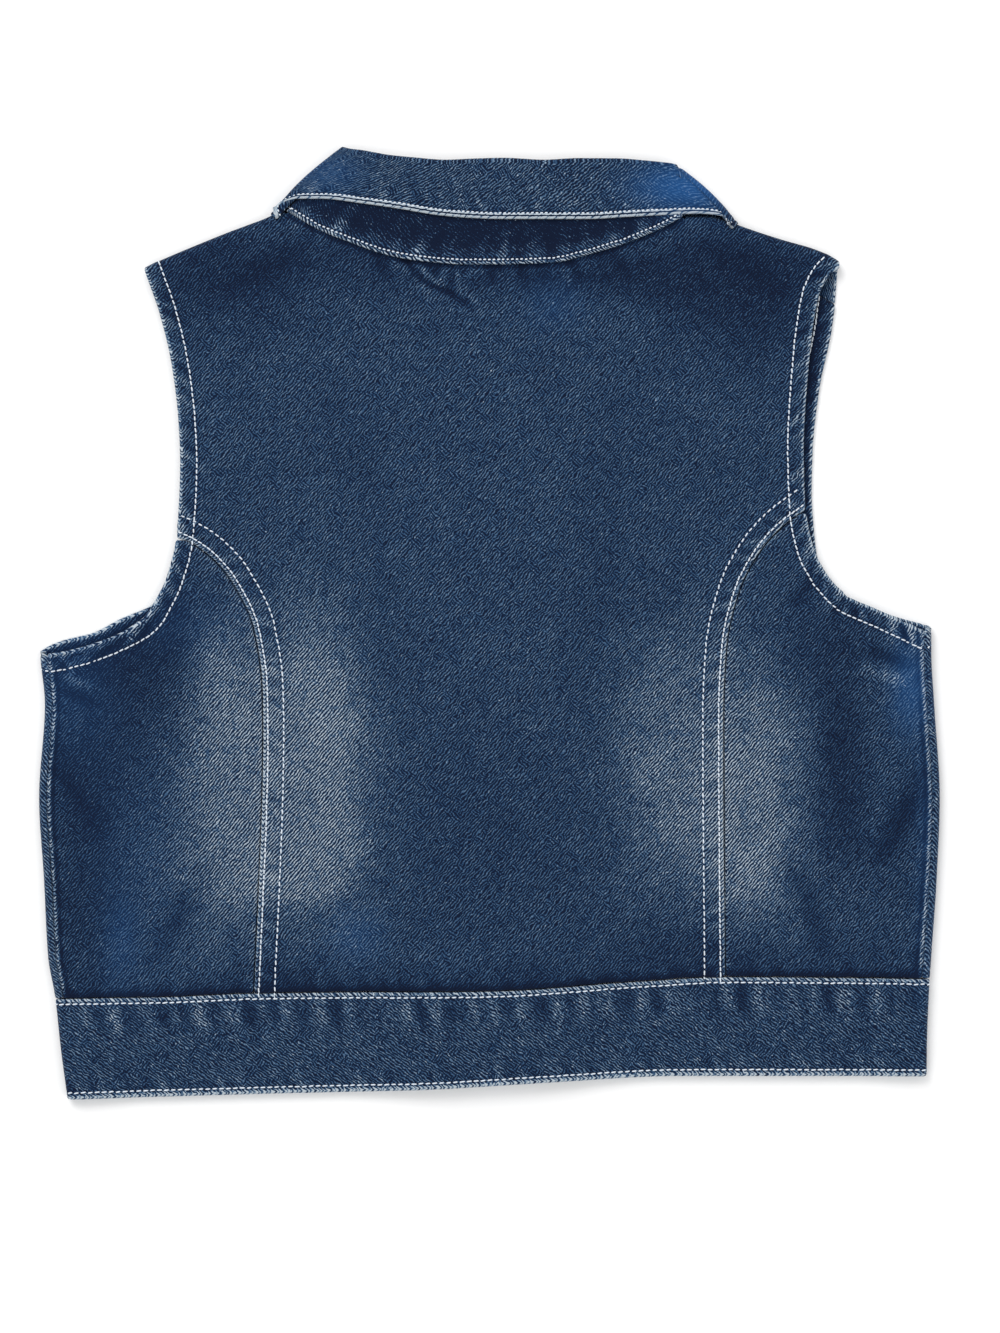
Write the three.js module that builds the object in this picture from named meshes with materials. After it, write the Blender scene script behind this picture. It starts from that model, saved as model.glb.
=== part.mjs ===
// A cropped denim vest laid flat, back upwards, collar towards +Y, on the plane Z = 0.
// Millimetres, +Z up. The wearer's left is at -X. Every piece is one closed cloth wall.
import * as THREE from 'three';

// Driving dimensions

const CLOTH = 1.2;              // one ply of denim
const HEM_EXTRA = 1.0;          // what the turned armhole hem adds inside
const SEAM_EXTRA = 0.5;         // how far the lapped seam stands proud of the back
const HEM_WIDTH = 8;            // armhole hem, edge to inner fold
const LAP_WIDTH = 10;           // lapped seam beside each side back panel
const BAND = 2.0;               // waistband, two plies
const COLLAR = 1.6;             // collar, two thin plies
const SEAM_GAP = 0.3;           // between two pieces at a seam or face to face
const NECK_GAP = 0.8;           // from the front necklines to the collar's stand

const SIDE_ROLL = 2.2;          // middle radius of the cloth where it rolls round the side
const BAND_ROLL = 2.0;          // the same for the waistband
const SEAM_INSET = 4;           // side seam on the back face, in from the outline
const SHOULDER_WRAP = 19;       // back panel's length past the shoulder fold, on the underside

const OVERLAP = 12;             // each front reaches this far past the centre line
const BUTTON = { radius: 8.5, height: 1.6, bevel: 0.5 };
const BUTTON_ROWS = [92, 26, -40, -106, -186];

const LEAF_PITCH = COLLAR + SEAM_GAP;         // middle of stand to middle of fall
const COLLAR_TURN = 2.15;                     // middle radius where the collar turns to the front
const FRONT_LIFT = BUTTON.height + SEAM_GAP;  // the fronts lie this high over buttons and collar
const STACK = CLOTH + SEAM_GAP;               // one ply on another

const HALF = CLOTH / 2;
const NEAR = 0.5;               // closer than this to a corner counts as on it
const BACK_BASE = 2.6;          // middle of the back's cloth where it lies lowest
const BAND_BASE = 3.4;          // the same for the waistband's upper layer
const WAIST_ROW = -164;         // a height near the waist seam, where the lowest columns start

// The outline tables: places in plan, X for a Y or Y for an X

const SIDES = [
  { y: -214, left: -189.6, right: 196.0 },
  { y: -190, left: -192.8, right: 196.2 },
  { y: -168, left: -195.2, right: 197.0 },
  { y: -149, left: -198.5, right: 198.2 },
  { y: -115, left: -200.3, right: 200.6 },
  { y: -78, left: -202.5, right: 202.0 },
  { y: -36, left: -199.9, right: 199.5 },
  { y: -12, left: -202.0, right: 198.2 },
  { y: 0, left: -202.0, right: 198.2 },
];
const HEM = [
  { x: -190, y: -213.4 },
  { x: -104, y: -211.0 },
  { x: -41, y: -209.3 },
  { x: 32, y: -205.2 },
  { x: 86, y: -203.0 },
  { x: 196, y: -203.0 },
];
const WAIST = [
  { x: -195, y: -168.3 },
  { x: -147, y: -167.7 },
  { x: -105, y: -166.0 },
  { x: 0, y: -164.7 },
  { x: 67, y: -160.7 },
  { x: 106, y: -158.6 },
  { x: 197, y: -159.3 },
];
// The seam between the back panels, up to where it runs into the armhole
const LEFT_SEAM = [
  { y: -170, x: -106.2 },
  { y: -49, x: -102.0 },
  { y: -29, x: -102.3 },
  { y: -2, x: -106.2 },
  { y: 19, x: -116.1 },
  { y: 28, x: -123.3 },
  { y: 36, x: -133.7 },
  { y: 39.2, x: -140.6 },
];
const RIGHT_SEAM = [
  { y: -170, x: 105.8 },
  { y: -40, x: 105.0 },
  { y: -10, x: 106.4 },
  { y: 14, x: 111.8 },
  { y: 34, x: 122.4 },
  { y: 45, x: 133.0 },
  { y: 51.3, x: 141.8 },
];
// The back's armhole edges
const LEFT_ARMHOLE = [
  { y: -14.2, x: -198.0 },
  { y: -13.4, x: -193.2 },
  { y: -9.7, x: -179.6 },
  { y: -4, x: -165.6 },
  { y: 2.7, x: -154.8 },
  { y: 10.4, x: -149.9 },
  { y: 21.2, x: -144.9 },
  { y: 39.2, x: -140.6 },
  { y: 73, x: -138.8 },
  { y: 92, x: -139.7 },
  { y: 116, x: -142.7 },
  { y: 138, x: -147.8 },
  { y: 160, x: -155.3 },
];
const RIGHT_ARMHOLE = [
  { y: -3.5, x: 194.2 },
  { y: 1.4, x: 185.9 },
  { y: 5.9, x: 177.8 },
  { y: 8.6, x: 169.7 },
  { y: 12.6, x: 160.0 },
  { y: 24.6, x: 149.6 },
  { y: 35.1, x: 144.8 },
  { y: 51.3, x: 141.8 },
  { y: 78, x: 140.9 },
  { y: 119, x: 143.3 },
  { y: 146, x: 147.1 },
  { y: 157, x: 152.5 },
  { y: 159.7, x: 156.4 },
  { y: 162.5, x: 157.4 },
];
// The fronts' armhole edges, unrolled: past the outline X is a length round the side
const FRONT_LEFT_ARMHOLE = [
  { y: -14.2, x: -207.3 },
  { y: -13.5, x: -205.1 },
  { y: -12.5, x: -202.7 },
  { y: -11.4, x: -200.4 },
  { y: -10.2, x: -197.8 },
  { y: -8.3, x: -193.2 },
  { y: -4.9, x: -179.5 },
  { y: 2, x: -165.7 },
  { y: 8.2, x: -151.9 },
  { y: 25, x: -139.0 },
  { y: 50, x: -133.0 },
  { y: 80, x: -131.5 },
  { y: 110, x: -134.5 },
  { y: 142, x: -147.4 },
];
const FRONT_RIGHT_ARMHOLE = [
  { y: -3.5, x: 203.5 },
  { y: -2.7, x: 201.3 },
  { y: -1.8, x: 198.9 },
  { y: -1.0, x: 196.2 },
  { y: 0, x: 192.0 },
  { y: 3.5, x: 180.0 },
  { y: 8, x: 166.0 },
  { y: 14, x: 155.5 },
  { y: 26.6, x: 147.4 },
  { y: 45, x: 145.0 },
  { y: 59, x: 144.2 },
  { y: 78, x: 144.7 },
  { y: 105, x: 147.6 },
  { y: 132, x: 154.2 },
  { y: 144, x: 156.4 },
];
// The shoulder folds and the neck seam between them, left to right
const LEFT_NECK_X = -90;
const RIGHT_NECK_X = 88;
const BACK_TOP = [
  { x: -155.3, y: 159.8 },
  { x: -135.5, y: 168.3 },
  { x: -118.8, y: 175.0 },
  { x: -108, y: 178.8 },
  { x: -99, y: 181.2 },
  { x: LEFT_NECK_X, y: 183.4 },
  { x: -77, y: 177.8 },
  { x: -61.6, y: 171.5 },
  { x: -46, y: 166.1 },
  { x: -30.6, y: 163.3 },
  { x: -11, y: 161.8 },
  { x: 4.5, y: 161.8 },
  { x: 28, y: 162.6 },
  { x: 43, y: 166.0 },
  { x: 58.7, y: 170.7 },
  { x: 74, y: 176.9 },
  { x: RIGHT_NECK_X, y: 181.4 },
  { x: 100, y: 179.6 },
  { x: 112, y: 177.0 },
  { x: 121, y: 175.4 },
  { x: 130.5, y: 172.6 },
  { x: 146, y: 168.0 },
  { x: 157.4, y: 162.5 },
];
// The way each shoulder wrap runs on the underside, from its fold
const LEFT_WRAP = new THREE.Vector2(0.36, -0.93).normalize();
const RIGHT_WRAP = new THREE.Vector2(-0.08, -1).normalize();
// The front necklines, for the left front; the right one takes them at -X, moved by NECK_SHIFT
const NECKLINE = [
  { x: -83.4, y: 165.2 },
  { x: -78, y: 155.0 },
  { x: -72.5, y: 145.6 },
  { x: -64, y: 136.6 },
  { x: -54, y: 128.5 },
  { x: -41, y: 122.0 },
  { x: -28, y: 118.0 },
  { x: -3, y: 114.6 },
  { x: 12, y: 114.2 },
];
// The collar's stations. neck, fold and leaf are the places in plan of its sewn edge, of the
// fold between stand and fall, and of the fall's free edge.
const COLLAR_BACK = [
  { neck: [-83.8, 182.0], fold: [-62.8, 213.3], leaf: [-89.5, 193.0] },
  { neck: [-77.2, 178.4], fold: [-57.0, 213.0], leaf: [-77.0, 191.2] },
  { neck: [-61.8, 172.1], fold: [-44.5, 210.8], leaf: [-57.0, 188.4] },
  { neck: [-46.0, 166.7], fold: [-33.0, 209.8], leaf: [-40.0, 185.9] },
  { neck: [-30.6, 163.9], fold: [-20.5, 209.2], leaf: [-24.0, 183.2] },
  { neck: [-11.2, 162.4], fold: [-7.0, 209.1], leaf: [-9.0, 181.9] },
  { neck: [4.5, 162.4], fold: [6.0, 208.8], leaf: [5.0, 181.4] },
  { neck: [27.9, 163.2], fold: [24.0, 208.0], leaf: [27.0, 181.4] },
  { neck: [43.2, 166.7], fold: [40.0, 208.8], leaf: [44.0, 182.1] },
  { neck: [58.7, 171.3], fold: [56.0, 208.8], leaf: [61.0, 184.0] },
  { neck: [74.3, 177.5], fold: [70.5, 207.8], leaf: [80.0, 186.4] },
  { neck: [81.0, 180.2], fold: [80.5, 206.6], leaf: [96.5, 186.3] },
];
const LEFT_TURN = { neck: [-88.2, 185.4], fold: [-67.2, 213.3], leaf: [-98.4, 184.0], bow: 1.3 };
const RIGHT_TURN = { neck: [87.4, 183.8], fold: [88.5, 204.8], leaf: [111.4, 179.8], bow: 0.8 };
const COLLAR_LEFT_FRONT = [
  { neck: [-82.4, 166.0], fold: [-57.0, 192.0], leaf: [-104.0, 160.0] },
  { neck: [-72.0, 146.2], fold: [-46.0, 171.0], leaf: [-101.0, 137.0] },
  { neck: [-53.5, 129.2], fold: [-33.0, 152.0], leaf: [-89.0, 116.0] },
  { neck: [-27.8, 118.7], fold: [-17.0, 136.0], leaf: [-70.0, 99.0] },
  { neck: [-3.0, 115.4], fold: [-3.0, 124.0], leaf: [-50.0, 90.0] },
];
const COLLAR_RIGHT_FRONT = [
  { neck: [85.8, 165.0], fold: [64.0, 188.0], leaf: [110.0, 158.0] },
  { neck: [75.6, 146.2], fold: [50.0, 169.0], leaf: [104.0, 136.0] },
  { neck: [57.0, 129.2], fold: [36.0, 151.0], leaf: [92.0, 116.0] },
  { neck: [30.6, 118.7], fold: [19.0, 136.0], leaf: [72.0, 99.0] },
  { neck: [3.0, 115.4], fold: [3.0, 124.0], leaf: [51.0, 90.0] },
];
const NECK_SHIFT = 3.4;

// Small helpers

const lerp = (from, to, t) => from + (to - from) * t;
const steps = (from, to, count) => Array.from({ length: count + 1 }, (_, i) => lerp(from, to, i / count));

// 0 at value = from, 1 at value = to, level at both ends; from may be the larger
function ease(from, to, value) {
  const t = Math.min(Math.max((value - from) / (to - from), 0), 1);
  return t * t * (3 - 2 * t);
}

// One smooth height over several humps, never lower than the highest of them
const together = (...humps) => Math.cbrt(humps.reduce((sum, hump) => sum + hump ** 3, 0));

// A smooth line through a table's rows that never overshoots them
function line(table, key, value) {
  const rows = [...table].sort((a, b) => a[key] - b[key]);
  const slopes = rows.slice(1).map((row, i) => (row[value] - rows[i][value]) / (row[key] - rows[i][key]));
  const tangents = rows.map((row, i) => {
    if (i === 0) return slopes[0];
    if (i === rows.length - 1) return slopes[i - 1];
    const product = slopes[i - 1] * slopes[i];
    return product <= 0 ? 0 : (2 * product) / (slopes[i - 1] + slopes[i]);
  });
  return (at) => {
    if (at <= rows[0][key]) return rows[0][value];
    if (at >= rows[rows.length - 1][key]) return rows[rows.length - 1][value];
    const i = rows.findIndex((row) => row[key] > at) - 1;
    const span = rows[i + 1][key] - rows[i][key];
    const t = (at - rows[i][key]) / span;
    const start = rows[i][value] * (1 + 2 * t) + tangents[i] * span * t;
    const end = rows[i + 1][value] * (3 - 2 * t) - tangents[i + 1] * span * (1 - t);
    return start * (1 - t) ** 2 + end * t ** 2;
  };
}

// The distance in plan from a point to a line given as x for a y
function distanceTo(points) {
  return (x, y) => {
    let nearest = Infinity;
    for (let i = 1; i < points.length; i += 1) {
      const [ax, ay] = points[i - 1];
      const [bx, by] = points[i];
      const length = (bx - ax) ** 2 + (by - ay) ** 2;
      const t = Math.min(Math.max(((x - ax) * (bx - ax) + (y - ay) * (by - ay)) / length, 0), 1);
      nearest = Math.min(nearest, Math.hypot(x - lerp(ax, bx, t), y - lerp(ay, by, t)));
    }
    return nearest;
  };
}
const places = (table) => table.map((row) => [row.x, row.y]);

const leftSide = line(SIDES, 'y', 'left');
const rightSide = line(SIDES, 'y', 'right');
const hemLine = line(HEM, 'x', 'y');
const waistLine = line(WAIST, 'x', 'y');
const leftSeam = line(LEFT_SEAM, 'y', 'x');
const rightSeam = line(RIGHT_SEAM, 'y', 'x');
const leftArmhole = line(LEFT_ARMHOLE, 'y', 'x');
const rightArmhole = line(RIGHT_ARMHOLE, 'y', 'x');
const backTop = line(BACK_TOP, 'x', 'y');
const neckline = line(NECKLINE, 'x', 'y');
const fromLeftArmhole = distanceTo(places(LEFT_ARMHOLE));
const fromRightArmhole = distanceTo(places(RIGHT_ARMHOLE));
const fromArmholes = (x, y) => (x < 0 ? fromLeftArmhole(x, y) : fromRightArmhole(x, y));
const fromFrontLeftArmhole = distanceTo(places(FRONT_LEFT_ARMHOLE));
const fromFrontRightArmhole = distanceTo(places(FRONT_RIGHT_ARMHOLE));
const fromLeftSeam = distanceTo(places(LEFT_SEAM));
const fromRightSeam = distanceTo(places(RIGHT_SEAM));

// Heights of the middle of the cloth, layer by layer

// A hump has a height, and a start and a full distance between which it rises
const OVER_BUTTONS = { height: FRONT_LIFT, start: 32, full: 12 };         // from the centre line
const OVER_COLLAR = { height: FRONT_LIFT, start: 130, full: 114 };        // from the centre line
const COLLAR_FROM = { start: 68, full: 86 };                              // in Y, below the leaves
const LAPPED = { start: 28, full: 13 };                                   // left front over right one
const ON_COLLAR = 4;                                                      // the back rises this much sooner
const BACK_HUMPS = {
  centre: { height: 2.9, start: 66, full: 14 },         // over the lapped fronts, from the centre line
  waist: { height: 0.7, start: 30, full: 3 },           // from the waist seam
  waistCentre: { height: 4.7, start: 45, full: 3 },     // from the waist seam, where its ends lap
  side: { height: 2.4, start: 34, full: SEAM_INSET },   // from the outline, up to the roll
  top: { height: 2.5, start: 38, full: 4 },             // from the shoulder folds and the neck seam
  collar: { height: 1.6, start: 146, full: 116 },       // over the fronts on the collar's leaves
  armhole: { height: 1.2, start: 28, full: 11 },        // over the fronts' hems, from the armhole
};
const BAND_HUMPS = {
  centre: { height: 4.1, start: 70, full: 14 },
  side: { height: 1.6, start: 34, full: SEAM_INSET },
};
const UNDERARM = { start: 40, full: 10 };               // in Y, above which no side rolls
const grown = (hump, distance) => ease(hump.start, hump.full, distance);
const rise = (hump, distance) => hump.height * grown(hump, distance);

const fromCentre = (x) => Math.abs(x);
const fromSides = (x, y) => Math.min(x - leftSide(y), rightSide(y) - x);
const frontHeight = (x, y) => HALF + Math.max(
  rise(OVER_BUTTONS, fromCentre(x)),
  rise(OVER_COLLAR, fromCentre(x)) * grown(COLLAR_FROM, y),
);

// The left front laps over the right one, inside it
const lapped = (x) => grown(LAPPED, -x);

function backHeight(x, y) {
  const fromWaist = y - waistLine(x);
  return BACK_BASE + together(
    rise(BACK_HUMPS.centre, fromCentre(x)),
    rise(BACK_HUMPS.waistCentre, fromWaist) * grown(BACK_HUMPS.centre, fromCentre(x)),
    rise(BACK_HUMPS.waist, fromWaist),
    rise(BACK_HUMPS.side, fromSides(x, y)) * grown(UNDERARM, y),
    rise(BACK_HUMPS.top, backTop(x) - y),
    rise(BACK_HUMPS.collar, fromCentre(x)) * grown(COLLAR_FROM, y + ON_COLLAR),
    rise(BACK_HUMPS.armhole, fromArmholes(x, y)),
  );
}

const bandUpperHeight = (x, y) => BAND_BASE + together(
  rise(BAND_HUMPS.centre, fromCentre(x)),
  rise(BAND_HUMPS.side, fromSides(x, y)),
);

// Walls

// A closed wall round a grid of points. above and below are its half thicknesses along and
// against the grid's own normal; skip leaves out the cells that the piece doesn't have.
function wall(name, color, grid, { above, below, skip = () => false }) {
  const rows = grid.length;
  const columns = grid[0].length;
  const last = (index, count) => Math.min(index + 1, count - 1);
  const positions = [];
  const slots = new Map();
  const place = (row, column, side) => {
    const key = `${row} ${column} ${side}`;
    if (slots.has(key)) return slots.get(key);
    const point = grid[row][column];
    const along = grid[row][last(column, columns)].clone().sub(grid[row][Math.max(column - 1, 0)]);
    const across = grid[last(row, rows)][column].clone().sub(grid[Math.max(row - 1, 0)][column]);
    const normal = along.cross(across).normalize();
    const depth = side > 0 ? above(point, row, column) : -below(point, row, column);
    const index = positions.length / 3;
    positions.push(...point.clone().addScaledVector(normal, depth).toArray());
    slots.set(key, index);
    return index;
  };
  const has = (row, column) => row >= 0 && column >= 0 && row < rows - 1 && column < columns - 1
    && !skip(row, column);
  const faces = [];
  const quad = (a, b, c, d) => faces.push(a, b, c, a, c, d);
  const rim = (rowA, columnA, rowB, columnB) => quad(
    place(rowA, columnA, -1), place(rowB, columnB, -1), place(rowB, columnB, 1), place(rowA, columnA, 1));
  for (let row = 0; row < rows - 1; row += 1) {
    for (let column = 0; column < columns - 1; column += 1) {
      if (!has(row, column)) continue;
      const corners = [[row, column], [row, column + 1], [row + 1, column + 1], [row + 1, column]];
      quad(...corners.map(([r, c]) => place(r, c, 1)));
      quad(...corners.toReversed().map(([r, c]) => place(r, c, -1)));
      if (!has(row - 1, column)) rim(row, column, row, column + 1);
      if (!has(row, column + 1)) rim(row, column + 1, row + 1, column + 1);
      if (!has(row + 1, column)) rim(row + 1, column + 1, row + 1, column);
      if (!has(row, column - 1)) rim(row + 1, column, row, column);
    }
  }
  const geometry = new THREE.BufferGeometry();
  geometry.setAttribute('position', new THREE.Float32BufferAttribute(positions, 3));
  geometry.setIndex(faces);
  const material = new THREE.MeshStandardMaterial({ color, roughness: 0.9, metalness: 0 });
  const mesh = new THREE.Mesh(geometry, material);
  mesh.name = name;
  return mesh;
}

// Where a panel is narrower than this many times its insets, they shrink with it
const NARROW = 1.6;

// The plan of a panel. Its side edges are x for a y, its lower and upper edges y for an x. ys are
// the heights of the rows at each side edge. insets are the first columns' distances from it.
function panelPlan({ left, right, bottom, top, topX, ys, insets, middle }) {
  const columns = [
    ...insets.left.map((inset) => ({ inset, side: left, end: topX.left })),
    ...middle.map((share) => ({ share })),
    ...insets.right.toReversed().map((inset) => ({ inset: -inset, side: right, end: topX.right })),
  ];
  const firstInset = insets.left[insets.left.length - 1];
  const lastInset = insets.right[insets.right.length - 1];
  const xAt = (column, y) => {
    const from = left(y);
    const to = right(y);
    const room = Math.min(1, (to - from) / (NARROW * (firstInset + lastInset)));
    if (column.side) return column.side(y) + column.inset * room;
    return lerp(from + firstInset * room, to - lastInset * room, column.share);
  };
  const xAtTop = (column) => (column.side
    ? column.end + column.inset
    : lerp(topX.left + firstInset, topX.right - lastInset, column.share));
  const shareOf = (y, list) => (y - list[0]) / (list[list.length - 1] - list[0]);
  return ys.left.map((_, row) => columns.map((column, index) => {
    const across = index / (columns.length - 1);
    const low = bottom(xAt(column, WAIST_ROW));
    const high = top(xAtTop(column));
    const up = lerp(shareOf(ys.left[row], ys.left), shareOf(ys.right[row], ys.right), across);
    const y = lerp(low, high, up);
    return new THREE.Vector2(xAt(column, y), y);
  }));
}

// The rows along a curved back seam, closer together where it curves, and along a side seam
const SEAM_STEPS = 16;
const SIDE_STEPS = 8;
const ARMHOLE_STEPS = 9;
const SHOULDER_COLUMNS = 5;
const NECK_COLUMNS = 12;
const SIDE_COLUMNS = 5;
const EDGE_INSETS = [0, HEM_WIDTH - 1, HEM_WIDTH + 1];   // columns along a hem or a lapped seam
const sideRows = (side, underarm) => steps(waistLine(side * 195) + SEAM_GAP, underarm, SIDE_STEPS);
const seamRows = (x, tip) => steps(0, 1, SEAM_STEPS)
  .map((share) => lerp(waistLine(x) + SEAM_GAP, tip, 1 - (1 - share) ** 1.5));
const LEFT_TIP = 39.2;
const RIGHT_TIP = 51.3;
const LEFT_SEAM_ROWS = seamRows(leftSeam(WAIST_ROW), LEFT_TIP);
const RIGHT_SEAM_ROWS = seamRows(rightSeam(WAIST_ROW), RIGHT_TIP);

// A seam line moved sideways by half the gap, square to itself
const beside = (seam, side) => (y) => {
  const slope = (seam(y + 0.5) - seam(y - 0.5));
  return seam(y) + (side * SEAM_GAP / 2) * Math.hypot(1, slope);
};

const DENIM = 0x2c4a76;
const DARK_DENIM = 0x274269;
const METAL = 0xb8b0a2;

// The back panel, over the shoulder folds to the shoulder seams on the underside

function backCentre() {
  const leftEdge = beside(leftSeam, 1);
  const rightEdge = beside(rightSeam, -1);
  const topX = { left: BACK_TOP[0].x, right: BACK_TOP[BACK_TOP.length - 1].x };
  const inset = EDGE_INSETS[EDGE_INSETS.length - 1];
  const shareOf = (x) => (x - topX.left - inset) / (topX.right - topX.left - 2 * inset);
  const onShoulder = (x) => x < LEFT_NECK_X + NEAR || x > RIGHT_NECK_X - NEAR;
  const topY = (x) => backTop(x) - (onShoulder(x) ? SIDE_ROLL + HALF : 0);
  const above = (tip, end) => steps(tip, end, ARMHOLE_STEPS).slice(1);
  const plan = panelPlan({
    left: (y) => (y < LEFT_TIP ? leftEdge(y) : leftArmhole(y)),
    right: (y) => (y < RIGHT_TIP ? rightEdge(y) : rightArmhole(y)),
    bottom: (x) => waistLine(x) + SEAM_GAP,
    top: topY,
    topX,
    ys: {
      left: [...LEFT_SEAM_ROWS, ...above(LEFT_TIP, topY(topX.left))],
      right: [...RIGHT_SEAM_ROWS, ...above(RIGHT_TIP, topY(topX.right))],
    },
    insets: { left: EDGE_INSETS, right: EDGE_INSETS },
    middle: [
      ...steps(0, shareOf(LEFT_NECK_X), SHOULDER_COLUMNS).slice(1, -1),
      ...steps(shareOf(LEFT_NECK_X), shareOf(RIGHT_NECK_X), NECK_COLUMNS),
      ...steps(shareOf(RIGHT_NECK_X), 1, SHOULDER_COLUMNS).slice(1, -1),
    ],
  });
  const grid = plan.map((row) => row.map((p) => new THREE.Vector3(p.x, p.y, backHeight(p.x, p.y))));
  const topRow = grid[grid.length - 1];
  const wraps = [];
  const turns = [45, 90, 135, 180].map(THREE.MathUtils.degToRad);
  const wrapPoint = (start, along, angle, beyond) => {
    const under = frontHeight(start.x + along.x * beyond, start.y + along.y * beyond);
    const radius = (start.z - under) / 2;
    const reach = SIDE_ROLL * Math.sin(angle) - beyond;
    return new THREE.Vector3(
      start.x - along.x * reach,
      start.y - along.y * reach,
      start.z - radius * (1 - Math.cos(angle)),
    );
  };
  const along = (start) => (start.x < 0 ? LEFT_WRAP : RIGHT_WRAP);
  for (const angle of turns) {
    wraps.push(topRow.map((start) => wrapPoint(start, along(start), angle, 0)));
  }
  for (const beyond of [8, SHOULDER_WRAP - SIDE_ROLL - HALF]) {
    wraps.push(topRow.map((start) => wrapPoint(start, along(start), Math.PI, beyond)));
  }
  const shoulderColumn = (column) => {
    const x = (topRow[column].x + topRow[column + 1].x) / 2;
    return x < LEFT_NECK_X || x > RIGHT_NECK_X;
  };
  const proud = (p) => {
    const lap = Math.min(fromLeftSeam(p.x, p.y), fromRightSeam(p.x, p.y));
    const hem = fromArmholes(p.x, p.y);
    return Math.max(ease(LAP_WIDTH, LAP_WIDTH - 2, lap), ease(HEM_WIDTH + 1, HEM_WIDTH - 1, hem));
  };
  return wall('back_centre', DENIM, [...grid, ...wraps], {
    above: (p, row) => HALF + (row < grid.length ? SEAM_EXTRA * proud(p) : 0),
    below: () => HALF,
    skip: (row, column) => row >= grid.length - 1 && !shoulderColumn(column),
  });
}

// A back panel from the curved seam to the side seam

function backSide(name, side) {
  const isLeft = side < 0;
  const outline = isLeft ? leftSide : rightSide;
  const armhole = isLeft ? leftArmhole : rightArmhole;
  const inner = beside(isLeft ? leftSeam : rightSeam, side);
  const table = isLeft ? LEFT_ARMHOLE : RIGHT_ARMHOLE;
  const innerRows = (isLeft ? LEFT_SEAM_ROWS : RIGHT_SEAM_ROWS).slice(0, -1);
  const tip = innerRows[innerRows.length - 1];
  const underarm = table[0].y;
  const outer = (y) => (y < underarm
    ? outline(y) - side * (SEAM_INSET + SEAM_GAP / 2)
    : armhole(y));
  const armholeRows = table.map((row) => row.y).slice(1, SEAM_STEPS - SIDE_STEPS - 1);
  const outerRows = [...sideRows(side, underarm), ...armholeRows, tip];
  const plan = panelPlan({
    left: isLeft ? outer : inner,
    right: isLeft ? inner : outer,
    bottom: (x) => waistLine(x) + SEAM_GAP,
    top: () => tip,
    topX: isLeft ? { left: armhole(tip), right: inner(tip) } : { left: inner(tip), right: armhole(tip) },
    ys: isLeft ? { left: outerRows, right: innerRows } : { left: innerRows, right: outerRows },
    insets: { left: EDGE_INSETS, right: EDGE_INSETS },
    middle: steps(0, 1, SIDE_COLUMNS).slice(1, -1),
  });
  const grid = plan.map((row) => row.map((p) => new THREE.Vector3(p.x, p.y, backHeight(p.x, p.y))));
  const hem = (p) => ease(HEM_WIDTH + 1, HEM_WIDTH - 1, fromArmholes(p.x, p.y));
  return wall(name, DENIM, grid, { above: (p) => HALF + SEAM_EXTRA * hem(p), below: () => HALF });
}

// A front, on the floor, rolled round the side up to the side seam on the back face

function rolled(outlineX, side, radius, thickness, x, y, under, over) {
  const reach = radius + thickness / 2;
  const past = Math.abs(x) - (Math.abs(outlineX) - reach);
  if (past <= 0) return new THREE.Vector3(x, y, under);
  const angle = Math.min(past / radius, Math.PI);
  const straight = Math.max(past - Math.PI * radius, 0);
  const plan = Math.abs(outlineX) - reach + radius * Math.sin(angle) - straight;
  return new THREE.Vector3(side * plan, y, lerp(under, over, (1 - Math.cos(angle)) / 2));
}

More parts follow.
